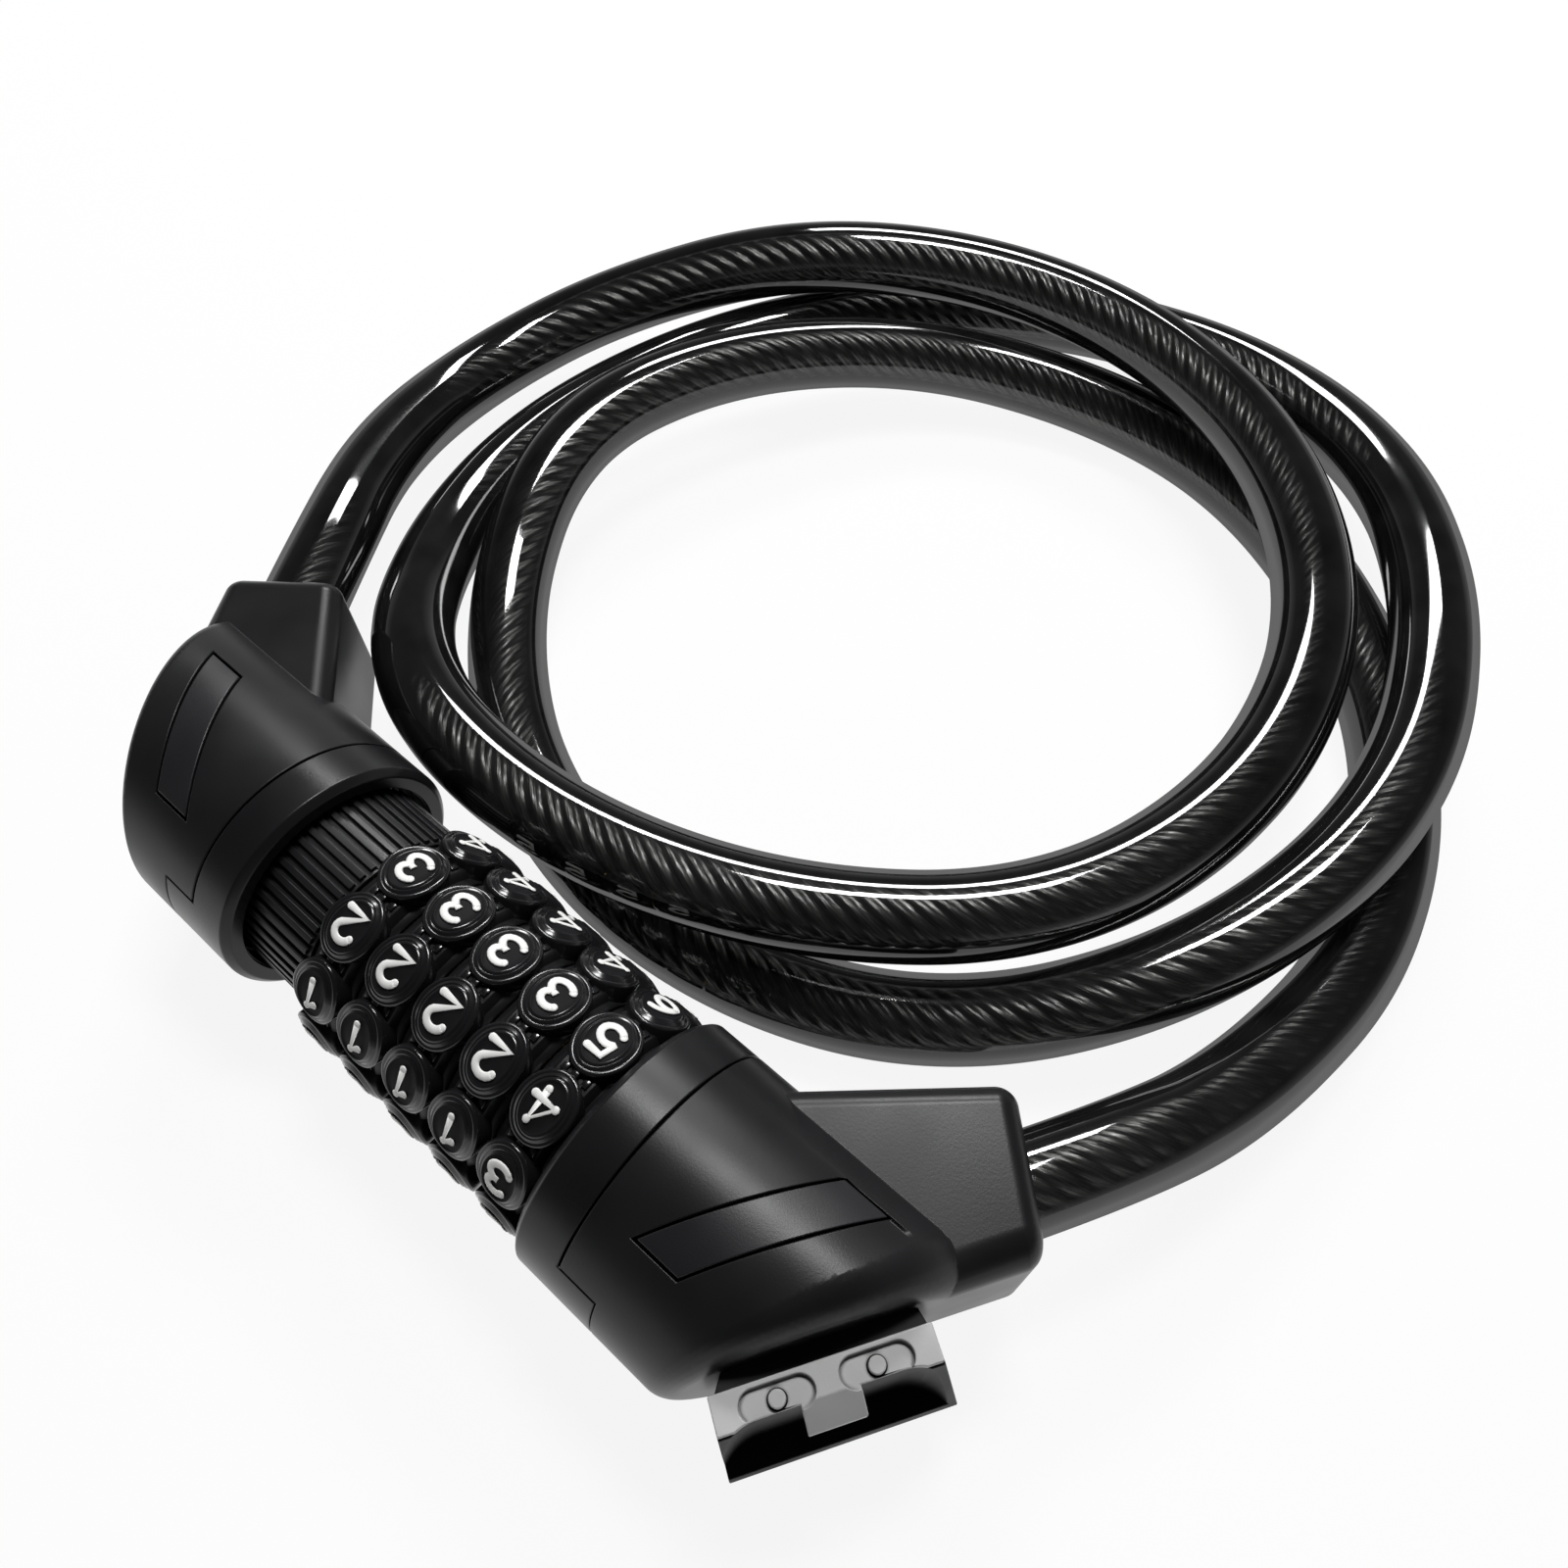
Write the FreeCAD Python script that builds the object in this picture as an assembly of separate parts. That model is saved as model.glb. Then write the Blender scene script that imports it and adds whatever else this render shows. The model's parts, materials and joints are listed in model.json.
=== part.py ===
import FreeCAD, Part
import math
import os

# Five-dial cable lock. Millimetres. +X runs along the barrel from the plug head to the main head,
# +Y points to the side the cable leaves to, and +Z is up. The origin is on the floor below the
# middle of the lock without its cable. Pieces are built in the barrel's own frame, where the
# barrel axis is y = z = 0 and x = 0 is the main head's front face, and are then put in place.

# heads
head_radius = 17.0
shell_wall = 2.8
bend_angle = 58.0            # from the barrel axis to the cable's direction
facet_distance = 28.5        # from the front face's centre to the slanting end face
plug_facet_distance = 26.6
facet_wall = 2.4
facet_round = 4.0
plug_facet_round = 1.6
groove_x = 7.0               # parting line between band and shell
groove_width = 0.25
band_front = 0.3
skirt_front = 0.7            # the same face on the plug head
front_round = 0.9
band_web = 1.7
skirt_wall = 2.55
spigot_length = 2.3
spigot_wall = 1.65
tongue_length = 5.5
tongue_start = 152.0
tongue_end = 252.0
tongue_thick = 1.0

# gland, the block that the cable leaves by
gland_height = 21.0
main_reach = 39.8            # at the outer wall
main_reach_in = 43.7
plug_reach = 39.7
plug_reach_in = 41.6
gland_root = 8.0
gland_round = 2.6
gland_wall = facet_distance  # outer wall, from the front face's centre; it runs on from the end face
main_gland_width = 18.4      # at the outlet
main_gland_root = 28.3
plug_gland_width = 15.9
plug_gland_root = 25.2
cable_offset = 19.1          # from the front face's centre to the cable's axis in the gland
plug_cable_offset = 21.5
plug_cable_height = 1.2

# inlay plate
inlay_start = 12.8
inlay_width = 5.7
inlay_half_span = 9.2
inlay_slant = 11.8
inlay_middle_y = 1.0
plug_inlay_half_span = 8.4
plug_inlay_middle_y = -0.6
inlay_thick = 0.9
inlay_gap = 0.3

# code mechanism
dial_count = 5
digit_count = 10
dial_pitch = 8.0
dial_width = 7.7
dial_body_radius = 14.3
pad_radius = 16.1
pad_half_width = 3.4
pad_half_length = 4.2
pad_slope = 0.4
dial_chamfer = 0.9
disc_radius = 10.3
disc_recess_radius = 8.6
web_thick = 2.0
key_count = 10
key_width = 2.6
key_height = 0.75
key_length = 1.7
key_start = 0.9
flange_start = 2.7
code_angle = 73.5            # where the digits of the open code stand, from +Y over the top
gate_angle = 90.0
lug_width = 3.0
lug_length = 2.4
lug_radius = 7.6
lug_start = 0.6
gate_clearance = 0.3
clutch_travel = 2.2
notch_depth = 0.45
notch_width = 1.4

# core tube and bolt
bolt_radius = 3.5
bolt_clearance = 0.08
tube_radius = 5.6
tube_clearance = 0.06
tube_front = -55.2
tube_root = 16.0
slot_end = -0.6
bolt_tip = 3.0
bolt_root = 16.0
pin_radius = 1.5
pin_x = 12.0
fit_gap = 0.05

# reset collar, cam ring and its ball-ended pins
collar_front = -40.2
collar_back = -53.4
collar_web = 2.2
collar_radius = 13.0
collar_bore = 11.0
rib_count = 52
rib_height = 0.55
rib_width = 0.85
cam_back = -47.4
cam_pin_radius = 1.0
cam_pin_x = -45.2
cam_groove_radius = 1.1
cam_end_radius = 1.15
collar_turn = 90.0
ring_groove_radius = 5.0
ring_radius = 8.2
ring_thick = 0.8
ring_gap = 4.2

# spring and washer
washer_radius = 9.6
washer_thick = 1.0
spring_seat = 7.2
spring_radius = 7.4
spring_wire = 1.0
spring_turns = 3
spring_corners = 8           # corners of the wire's path in one turn, each rounded by an arc

# detent strip
strip_width = 3.0
strip_thick = 0.4
strip_depth = 4.5
hump_radius = 1.6

# inside the heads
block_gap = 0.1
block_front = 2.3
ferrule_radius = 4.9
ferrule_start = 8.0
ferrule_length = 16.0
ferrule_groove = 0.8
jacket_start = 28.2
set_screw_radius = 2.0
set_screw_at = 16.0
shell_screw_radius = 1.3
shell_screw_head = 2.4
screw_head_thick = 1.0
shell_screw_length = 8.0

# bracket shoe
shoe_top_middle = 14.35
shoe_bottom_middle = 15.4
shoe_top = 10.0
shoe_bottom = -8.0
shoe_top_length = 23.3
shoe_bottom_length = 26.0
shoe_stand_off = 1.9         # from the slanting end face to the shoe
shoe_top_depth = 3.8
shoe_bottom_depth = 6.85
neck_middle = 14.9
neck_length = 19.0
neck_shoulder = 20.8         # width where the neck meets the head
neck_flange_length = 21.5
neck_flange_thick = 1.0
neck_rise = 0.6              # from the shoe's underside to the neck's
plate_thick = 1.2
tab_width = 6.2
tab_reach = 2.7
tab_drop = 2.4
shoe_slot_length = 7.8
shoe_slot_width = 3.2
shoe_slot_spacing = 10.3
shoe_slot_shift = 0.25       # from the plate's middle, outwards
shoe_slot_depth = 0.8
peg_radius = 0.9
peg_length = 6.0
hollow_depth = 0.5           # of the hollow in the shoe's outer face, at the top
hollow_straight = 15.0
hollow_radius = 6.0
toe_thick = 1.6

# cable
cable_radius = 6.0
rope_radius = 4.0
cable_clearance = 0.1
lead_out = 51.0

# place of the barrel frame in the model's frame
front_x = 23.78
axis_y = -6.5
axis_z = head_radius
plug_front = -49.8           # the plug head is the main head mirrored about half of this

# points of the cable's route between the glands, in the model's frame
route_points = [
    (-87.6, 48.5, 14), (-96.4, 75.9, 8), (-89.3, 104.1, 10.8), (-66.6, 128.4, 18.6),
    (-37.7, 147.2, 18.8), (-4.8, 151.8, 18.6), (26.7, 140.6, 18.6), (49.3, 114.5, 18.6),
    (56.1, 80.7, 18.6), (45.9, 48, 18.6), (18.9, 25.8, 18.6), (-13.8, 15.6, 18.6),
    (-45.4, 18.9, 18.6), (-68.3, 41.7, 9.5), (-78.5, 73.7, 6), (-71.6, 109, 6),
    (-53.6, 140.1, 6), (-26.7, 161.9, 6), (7.3, 170.3, 7), (39.2, 156.8, 13),
    (60.8, 127.9, 18.6), (72.3, 93.6, 18.6), (65, 58.2, 14), (42.8, 31, 6), (10.3, 17.4, 6),
    (-23.8, 20.6, 6), (-51.7, 40.4, 8), (-66, 69.1, 16), (-59.9, 101, 15), (-40, 130.4, 10),
    (-10.6, 145.9, 6), (20.3, 145.5, 6), (49, 130.6, 6), (70.2, 107.7, 6), (79.9, 78.5, 7),
    (76.3, 48.4, 11),
]
arc_share = 0.45

along = FreeCAD.Vector(1, 0, 0)
up = FreeCAD.Vector(0, 0, 1)
centre = FreeCAD.Vector(0, 0, 0)
far = 200.0
tube_bore = bolt_radius + bolt_clearance
disc_bore = tube_radius + tube_clearance
shell_bore = head_radius - shell_wall
band_bore = head_radius - skirt_wall
block_radius = shell_bore - block_gap
facet_bore = facet_distance - facet_wall
plug_facet_bore = plug_facet_distance - facet_wall
gate_radius = lug_radius + 0.4
shoe_inner = facet_distance + shoe_stand_off
shoe_top_outer = shoe_inner + shoe_top_depth
shoe_bottom_outer = shoe_inner + shoe_bottom_depth
cosine = math.cos(math.radians(bend_angle))
sine = math.sin(math.radians(bend_angle))
main_cable = (cable_offset, 0.0)
plug_cable = (plug_cable_offset, plug_cable_height)
main_inlay = (inlay_middle_y, inlay_half_span)
plug_inlay = (plug_inlay_middle_y, plug_inlay_half_span)


def rod(radius, start, end):
    return Part.makeCylinder(radius, end - start, FreeCAD.Vector(start, 0, 0), along)


def sleeve(outer, inner, start, end):
    return rod(outer, start, end).cut(rod(inner, start - 1, end + 1))


def post(radius, x, y, low, high):
    return Part.makeCylinder(radius, high - low, FreeCAD.Vector(x, y, low), up)


def block(x, y, z):
    """Box from three pairs of low and high values."""
    corner = FreeCAD.Vector(x[0], y[0], z[0])
    return Part.makeBox(x[1] - x[0], y[1] - y[0], z[1] - z[0], corner)


def turned(profile):
    """Solid turned about the barrel axis from (x, radius) points."""
    points = [FreeCAD.Vector(x, 0, radius) for x, radius in profile]
    face = Part.Face(Part.makePolygon(points + points[:1]))
    return face.revolve(centre, along, 360)


def prism(outline, low, high):
    points = [FreeCAD.Vector(x, y, low) for x, y in outline]
    return Part.Face(Part.makePolygon(points + points[:1])).extrude(FreeCAD.Vector(0, 0, high - low))


def around(shape, angle):
    """Turn about the barrel axis; 0 is +Y and 90 is +Z."""
    copy = shape.copy()
    copy.rotate(centre, along, angle)
    return copy


def bent(shape):
    """Turn a piece built along +X into the cable's direction."""
    copy = shape.copy()
    copy.rotate(centre, up, bend_angle)
    return copy


def at(shape, x):
    copy = shape.copy()
    copy.translate(FreeCAD.Vector(x, 0, 0))
    return copy


def fused(shapes):
    return shapes[0].multiFuse(shapes[1:]).removeSplitter() if len(shapes) > 1 else shapes[0]


def plug_side(shape):
    """The plug head's copy of a piece of the main head."""
    return shape.mirror(FreeCAD.Vector(plug_front / 2, 0, 0), along)


def notch(width, radius, start, end):
    """Cutter for a gate at the top of a ring, from the axis out to a radius."""
    return block((start, end), (-width / 2, width / 2), (0, far)).common(rod(radius, start, end))


def save(node, shape):
    placed = shape.copy()
    placed.translate(FreeCAD.Vector(front_x, axis_y, axis_z))
    keep(node, placed)


def keep(node, shape):
    solids = shape.Solids
    whole = solids[0] if len(solids) == 1 else Part.makeCompound(solids)
    if not whole.isValid():
        raise ValueError(node + " isn't a valid solid")
    pieces[node] = whole
    whole.exportStep("parts/" + node + ".step")


# Heads

def behind_facet(distance):
    """Everything on the barrel's side of a plane parallel to the slanting end face."""
    return bent(block((-far, far), (-distance, far), (-far, far)))


def barrel(radius, start, distance):
    return rod(radius, start, far).common(behind_facet(distance))


def rounded(shape, radius, wanted):
    edges = [edge for edge in shape.Edges if wanted(edge)]
    return shape.makeFillet(radius, edges)


def gland(width, root_width, reach, reach_in, top_round):
    """Block round the cable; its outer wall meets the top with a rounding of its own."""
    outline = [(gland_root, -gland_wall), (reach, -gland_wall),
               (reach_in, width - gland_wall), (gland_root, root_width - gland_wall)]
    body = prism(outline, -gland_height / 2, gland_height / 2)

    def outer_top(edge):
        box = edge.BoundBox
        lengthwise = box.XLength > gland_root
        return lengthwise and box.Center.z > 0 and box.Center.y < 0.1 + top_round - gland_wall

    def sharp(edge):
        return edge.BoundBox.Center.x > gland_root + 1 and not outer_top(edge)

    return bent(rounded(rounded(body, top_round, outer_top), gland_round, sharp))


def cable_bore(cable, radius, start, end):
    offset, height = cable
    return bent(Part.makeCylinder(radius, end - start, FreeCAD.Vector(start, -offset, height), along))


def cable_point(cable, distance):
    """Point on the cable's axis in a gland, in the barrel frame."""
    offset, height = cable
    return FreeCAD.Rotation(up, bend_angle).multVec(FreeCAD.Vector(distance, -offset, height))


def head_outside(facet, edge_round, outlet):
    start = groove_x + groove_width
    round_part = barrel(head_radius, start, facet)

    def on_facet(edge):
        box = edge.BoundBox
        return box.XMax > start + 1 and box.YLength > head_radius

    round_part = rounded(round_part, edge_round, on_facet)
    outlet = outlet.common(block((start, far), (-far, far), (-far, far)))
    return round_part.fuse(outlet)


def inlay_outline(place, gap):
    middle_y, half_span = place
    half = half_span + gap
    lean = inlay_slant * half / (2 * half_span)
    middle = inlay_start + inlay_slant / 2
    low, high = middle_y - half, middle_y + half
    return [(middle - lean - gap, low), (middle - lean + inlay_width + gap, low),
            (middle + lean + inlay_width + gap, high), (middle + lean - gap, high)]


def inlay_ring(place, gap):
    ring = sleeve(head_radius + gap, head_radius - inlay_thick - gap, groove_x, far / 2)
    return ring.common(prism(inlay_outline(place, gap), 0, far))


def tongue(gap):
    """Step in the band's parting line on the outer, lower side."""
    start = tongue_start - gap * 3
    end = tongue_end + gap * 3
    inner = head_radius - tongue_thick - gap
    ring = sleeve(head_radius + gap, inner, groove_x - 1, groove_x + tongue_length + gap)
    length = tongue_length + gap + 2
    wedge = Part.makeCylinder(far, length, FreeCAD.Vector(groove_x - 1, 0, 0), along, end - start)
    return ring.common(around(wedge, start - 90))


def screw_place(place):
    return inlay_start + inlay_slant / 2 + inlay_width / 2, place[0]


def screw_seat(place):
    """Height of the screw head's top, just under the inlay plate's lowest side."""
    reach = abs(place[0]) + shell_screw_head
    return math.sqrt((head_radius - inlay_thick - inlay_gap) ** 2 - reach ** 2)


def shell(facet, edge_round, outlet, cable, place):
    x, y = screw_place(place)
    seat = screw_seat(place)
    spigot = sleeve(shell_bore + spigot_wall - fit_gap, shell_bore, groove_x - spigot_length, groove_x + 1)
    body = head_outside(facet, edge_round, outlet)
    body = body.cut(barrel(shell_bore, groove_x - spigot_length - 1, facet - facet_wall))
    body = body.fuse(spigot)
    body = body.cut(cable_bore(cable, cable_radius + fit_gap, gland_root, far))
    body = body.cut(inlay_ring(place, inlay_gap))
    body = body.cut(tongue(groove_width / 2))
    body = body.cut(post(shell_screw_head + fit_gap, x, y, seat - screw_head_thick, far))
    return body.cut(post(shell_screw_radius + fit_gap, x, y, 0, far))


def band(front, inner, web):
    """Front ring of a head; it sits on the shell's spigot."""
    seat = groove_x - spigot_length - fit_gap
    profile = [(front + front_round, head_radius), (groove_x, head_radius),
               (groove_x, shell_bore + spigot_wall), (seat, shell_bore + spigot_wall),
               (seat, band_bore), (front + web, band_bore), (front + web, inner), (front, inner),
               (front, head_radius - front_round)]
    ring = turned(profile)
    return ring.fuse(tongue(0)).removeSplitter()


def shell_screw(place):
    x, y = screw_place(place)
    seat = screw_seat(place) - screw_head_thick
    head = post(shell_screw_head, x, y, seat, seat + screw_head_thick - fit_gap)
    socket_depth = screw_head_thick / 2
    socket = post(shell_screw_radius / 2, x, y, seat + socket_depth, far)
    return head.fuse(post(shell_screw_radius, x, y, seat - shell_screw_length, seat)).cut(socket)


def head_block(front, bore, cable, place):
    """Metal block that fills the shell and holds the ferrule."""
    x, y = screw_place(place)
    body = barrel(block_radius, front, bore - block_gap)
    body = body.cut(cable_bore(cable, ferrule_radius + fit_gap, ferrule_start - fit_gap, far))
    body = body.cut(cable_bore(cable, cable_radius + fit_gap, jacket_start - fit_gap, far))
    screw_end = screw_seat(place) - screw_head_thick - shell_screw_length
    body = body.cut(post(shell_screw_radius + fit_gap, x, y, screw_end - fit_gap, far))
    body = body.cut(post(pin_radius + fit_gap, pin_x, 0, -far, far))
    seat = cable_point(cable, set_screw_at)
    return body.cut(post(set_screw_radius + fit_gap, seat.x, seat.y, 0, far))


def ferrule(cable):
    end = ferrule_start + ferrule_length
    body = cable_bore(cable, ferrule_radius, ferrule_start, end)
    body = body.cut(cable_bore(cable, rope_radius + fit_gap, ferrule_start + rope_radius / 2, end + 1))
    seat = cable_point(cable, set_screw_at)
    floor = seat.z + ferrule_radius - ferrule_groove
    return body.cut(post(set_screw_radius + fit_gap, seat.x, seat.y, floor, far))


def set_screw(cable):
    seat = cable_point(cable, set_screw_at)
    low = seat.z + ferrule_radius - ferrule_groove + fit_gap
    high = math.sqrt(block_radius ** 2 - (abs(seat.y) + set_screw_radius) ** 2)
    body = post(set_screw_radius, seat.x, seat.y, low, high)
    return body.cut(post(set_screw_radius / 2, seat.x, seat.y, high - set_screw_radius, far))


# Dials and code discs

def dial_x(number):
    return -dial_pitch * (dial_count - number + 0.5)


def number_pad():
    """Raised oval on a dial, at the top."""
    def oval(grow, height):
        curve = Part.Ellipse(centre, max(pad_half_length, pad_half_width) + grow,
                             min(pad_half_length, pad_half_width) + grow)
        wire = Part.Wire(curve.toShape())
        wire.rotate(centre, up, 90)
        wire.translate(FreeCAD.Vector(0, 0, height))
        return wire

    low = oval(pad_slope, dial_body_radius - 1.5)
    high = oval(-pad_slope / 2, pad_radius + 1)
    return Part.makeLoft([low, high], True).common(rod(pad_radius, -dial_width, dial_width))


def dial_ring():
    half = dial_width / 2
    free = disc_radius + key_height + gate_clearance
    snug = disc_radius + tube_clearance
    body = turned([(-half, free), (-half, dial_body_radius - dial_chamfer),
                   (-half + dial_chamfer, dial_body_radius), (half - dial_chamfer, dial_body_radius),
                   (half, dial_body_radius - dial_chamfer), (half, free),
                   (flange_start + fit_gap, free), (flange_start + fit_gap, snug),
                   (-flange_start, snug), (-flange_start, free)])
    pad = number_pad().cut(rod(dial_body_radius - 1, -dial_width, dial_width))
    slot = block((key_start - 0.7, flange_start + 1), (-key_width / 2 - 0.1, key_width / 2 + 0.1), (0, far))
    slot = slot.common(rod(free, -dial_width, dial_width))
    step = 360.0 / digit_count
    pads = [around(pad, code_angle - 90 + step * number) for number in range(digit_count)]
    body = fused([body] + pads)
    for number in range(key_count):
        body = body.cut(around(slot, 360.0 / key_count * number))
    return body


def code_disc():
    half = dial_pitch / 2
    left, right = -half + fit_gap / 2, half - fit_gap / 2
    web = -half + web_thick
    body = turned([(left, disc_bore), (left, disc_radius), (right, disc_radius),
                   (right, disc_recess_radius), (web, disc_recess_radius), (web, disc_bore)])
    key = block((key_start, key_start + key_length), (-key_width / 2, key_width / 2), (disc_recess_radius, far))
    key = key.common(rod(disc_radius + key_height, left, right)).cut(rod(disc_radius - 0.5, left, right))
    keys = [around(key, 360.0 / key_count * number) for number in range(key_count)]
    body = fused([body] + keys)
    body = body.cut(notch(lug_width + 2 * gate_clearance, gate_radius, left - 1, web + 1))
    dent = notch(notch_width, disc_bore + notch_depth, left - 1, web + 1)
    for number in range(1, digit_count):
        body = body.cut(around(dent, 360.0 / digit_count * number))
    return body


# Core tube and what turns or slides on it

def strip_outline():
    """Detent strip in side view: flat, with one hump below each disc's web."""
    top = -strip_depth - fit_gap
    return top, top - strip_thick


def hump_x(number):
    return dial_x(number) - dial_pitch / 2 + web_thick / 2


def detent_spring():
    top, bottom = strip_outline()
    start = hump_x(1) - 2 * hump_radius
    end = hump_x(dial_count) + 2 * hump_radius
    strip = block((start, end), (-strip_width / 2, strip_width / 2), (bottom, top))
    parts = [strip]
    for number in range(1, dial_count + 1):
        roll = Part.makeCylinder(hump_radius, strip_width,
                                 FreeCAD.Vector(hump_x(number), -strip_width / 2, 0), FreeCAD.Vector(0, 1, 0))
        roll.translate(FreeCAD.Vector(0, 0, hump_radius - tube_radius + fit_gap))
        roll = roll.common(rod(tube_radius, start, end))
        parts.append(roll.common(block((-far, far), (-far, far), (-far, top))))
    return fused(parts)


def core_tube():
    body = sleeve(tube_radius, tube_bore, tube_front, tube_root)
    width = lug_width + 2 * gate_clearance - 0.2
    body = body.cut(block((tube_front - 1, slot_end), (-width / 2, width / 2), (0, far)))
    start = hump_x(1) - 2 * hump_radius - gate_clearance
    end = hump_x(dial_count) + 2 * hump_radius + gate_clearance
    half = strip_width / 2 + fit_gap
    body = body.cut(block((start, end), (-half, half), (-far, -strip_depth)))
    ring_start = collar_back - fit_gap - ring_thick
    groove = sleeve(tube_radius + 1, ring_groove_radius, ring_start - fit_gap, collar_back)
    body = body.cut(groove)
    for side in (0, 180):
        body = body.cut(around(cam_key(0.1), side))
    return body.cut(post(pin_radius + fit_gap, pin_x, 0, -far, far))


def cam_key(gap):
    """Key that stops the cam ring from turning on the tube; at the top before it is turned."""
    start = cam_back - gap
    end = collar_front + clutch_travel + 0.4 if gap else collar_front + 0.2
    key = block((start, end), (tube_radius - 0.9 - gap, tube_radius + 1), (-1 - gap, 1 + gap))
    return key.common(rod(tube_radius + 0.5, start, end)).cut(rod(tube_radius - 0.9 - gap, start, end))


def retaining_ring():
    start = collar_back - fit_gap - ring_thick
    ring = sleeve(ring_radius, ring_groove_radius + fit_gap, start, start + ring_thick)
    return ring.cut(block((-far, 0), (-ring_gap / 2, ring_gap / 2), (0, far)))


def thrust_washer():
    return sleeve(washer_radius, disc_bore, fit_gap / 2, fit_gap / 2 + washer_thick)


def clutch_spring():
    """Coil spring between the thrust washer and the main block."""
    start = fit_gap / 2 + washer_thick + fit_gap + spring_wire / 2
    end = spring_seat - fit_gap - spring_wire / 2
    corners = spring_turns * spring_corners
    reach = spring_radius / math.cos(math.pi / spring_corners)
    points = []
    for number in range(corners + 1):
        turn = 2 * math.pi * number / spring_corners
        x = start + (end - start) * number / corners
        points.append(FreeCAD.Vector(x, reach * math.sin(turn), reach * math.cos(turn)))
    path, bends = smooth_path(points)
    return swept(path, spring_wire / 2, 0)


def cam_ring():
    front = dial_x(1) - dial_pitch / 2 - fit_gap / 2
    body = sleeve(disc_radius, disc_bore, cam_back, front)
    body = body.cut(notch(lug_width + 2 * gate_clearance, gate_radius, cam_back - 1, front + 1))
    for side in (0, 180):
        key = around(cam_key(0), side).common(rod(tube_radius + 0.5, cam_back, front))
        body = body.fuse(key)
        hole = post(cam_pin_radius + fit_gap, cam_pin_x, 0, tube_radius + 1.5, far)
        body = body.cut(around(hole, side - 90))
    return body


def cam_pins():
    pins = []
    for side in (0, 180):
        shank = post(cam_pin_radius, cam_pin_x, 0, tube_radius + 1.5 + fit_gap, collar_bore)
        ball = Part.makeSphere(cam_pin_radius, FreeCAD.Vector(cam_pin_x, 0, collar_bore))
        pins.append(around(shank.fuse(ball).removeSplitter(), side - 90))
    return Part.makeCompound(pins)


def cam_groove():
    """Cutters of the groove for one pin: a quarter of a leaning round ring, and a ball end at each stop."""
    half_turn = math.radians(collar_turn / 2)
    lean = math.asin(clutch_travel / 2 / (collar_bore * math.sin(half_turn)))
    middle = FreeCAD.Vector(0, math.cos(half_turn), math.sin(half_turn))
    track = Part.makeTorus(collar_bore, cam_groove_radius, centre, along)
    track.rotate(centre, middle, math.degrees(lean))
    track = track.common(block((-far, far), (0, far), (0, far)))
    track.translate(FreeCAD.Vector(cam_pin_x + clutch_travel / 2, 0, 0))
    first = Part.makeSphere(cam_end_radius, FreeCAD.Vector(cam_pin_x, collar_bore, 0))
    last = Part.makeSphere(cam_end_radius, FreeCAD.Vector(cam_pin_x + clutch_travel, 0, collar_bore))
    return [track, first, last]


def reset_collar():
    web = collar_back + collar_web
    body = turned([(collar_front, collar_bore), (collar_front, collar_radius),
                   (collar_back + 0.8, collar_radius), (collar_back, collar_radius - 0.8),
                   (collar_back, disc_bore), (web, disc_bore), (web, collar_bore)])
    rib = block((collar_back + 1.2, collar_front - 0.4), (-rib_width / 2, rib_width / 2),
                (collar_radius - 0.4, collar_radius + rib_height))
    ribs = [around(rib, 360.0 / rib_count * number) for number in range(rib_count)]
    body = fused([body] + ribs)
    body = body.cut(notch(lug_width + 2 * gate_clearance, gate_radius, collar_back - 1, web + 1))
    for side in (0, 180):
        for cutter in cam_groove():
            body = body.cut(around(cutter, side))
    return body


def plug_bolt():
    root = plug_front - bolt_root
    nose = bolt_radius - 0.8
    body = turned([(root, 0), (root, bolt_radius), (bolt_tip - 0.8, bolt_radius), (bolt_tip, nose), (bolt_tip, 0)])
    lugs = []
    for number in range(1, dial_count + 1):
        start = dial_x(number) + lug_start
        lug = block((start, start + lug_length), (-lug_width / 2, lug_width / 2), (1, far))
        lugs.append(lug.common(rod(lug_radius, start, start + lug_length)))
    body = fused([body] + lugs)
    return body.cut(post(pin_radius + fit_gap, plug_front - pin_x, 0, -far, far))


def cross_pin(x):
    reach = block_radius - 0.4
    return post(pin_radius, x, 0, -reach, reach)


# Bracket shoe

def shoe_corners(middle, length, outer, height):
    start, end = middle - length / 2, middle + length / 2
    points = [(start, -shoe_inner), (end, -shoe_inner), (end, -outer), (start, -outer)]
    return [FreeCAD.Vector(x, y, height) for x, y in points]


def flat_face(corners):
    return Part.Face(Part.makePolygon(corners + corners[:1]))


def shoe_wedge():
    low = shoe_corners(shoe_bottom_middle, shoe_bottom_length, shoe_bottom_outer, shoe_bottom)
    high = shoe_corners(shoe_top_middle, shoe_top_length, shoe_top_outer, shoe_top)
    faces = [flat_face(low), flat_face(high)]
    for number in range(4):
        after = (number + 1) % 4
        faces.append(flat_face([low[number], low[after], high[after], high[number]]))
    wedge = Part.Solid(Part.Shell(faces))
    wedge.fixTolerance(1e-6)
    return wedge if wedge.Volume > 0 else wedge.reversed()


def neck(length, start, end, gap):
    half = length / 2 + gap
    return block((neck_middle - half, neck_middle + half), (-end, -start),
                 (shoe_bottom + neck_rise - gap, shoe_top - plate_thick + gap))


def slot_place(side):
    return shoe_top_middle + side * shoe_slot_spacing / 2, -(shoe_inner + shoe_top_outer) / 2 - shoe_slot_shift


def shoe_slot(side):
    middle, y = slot_place(side)
    half = (shoe_slot_length - shoe_slot_width) / 2
    low = shoe_top - shoe_slot_depth
    ends = [post(shoe_slot_width / 2, middle + end * half, y, low, far) for end in (-1, 1)]
    bar = block((middle - half, middle + half), (y - shoe_slot_width / 2, y + shoe_slot_width / 2), (low, far))
    return fused(ends + [bar])


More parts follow.
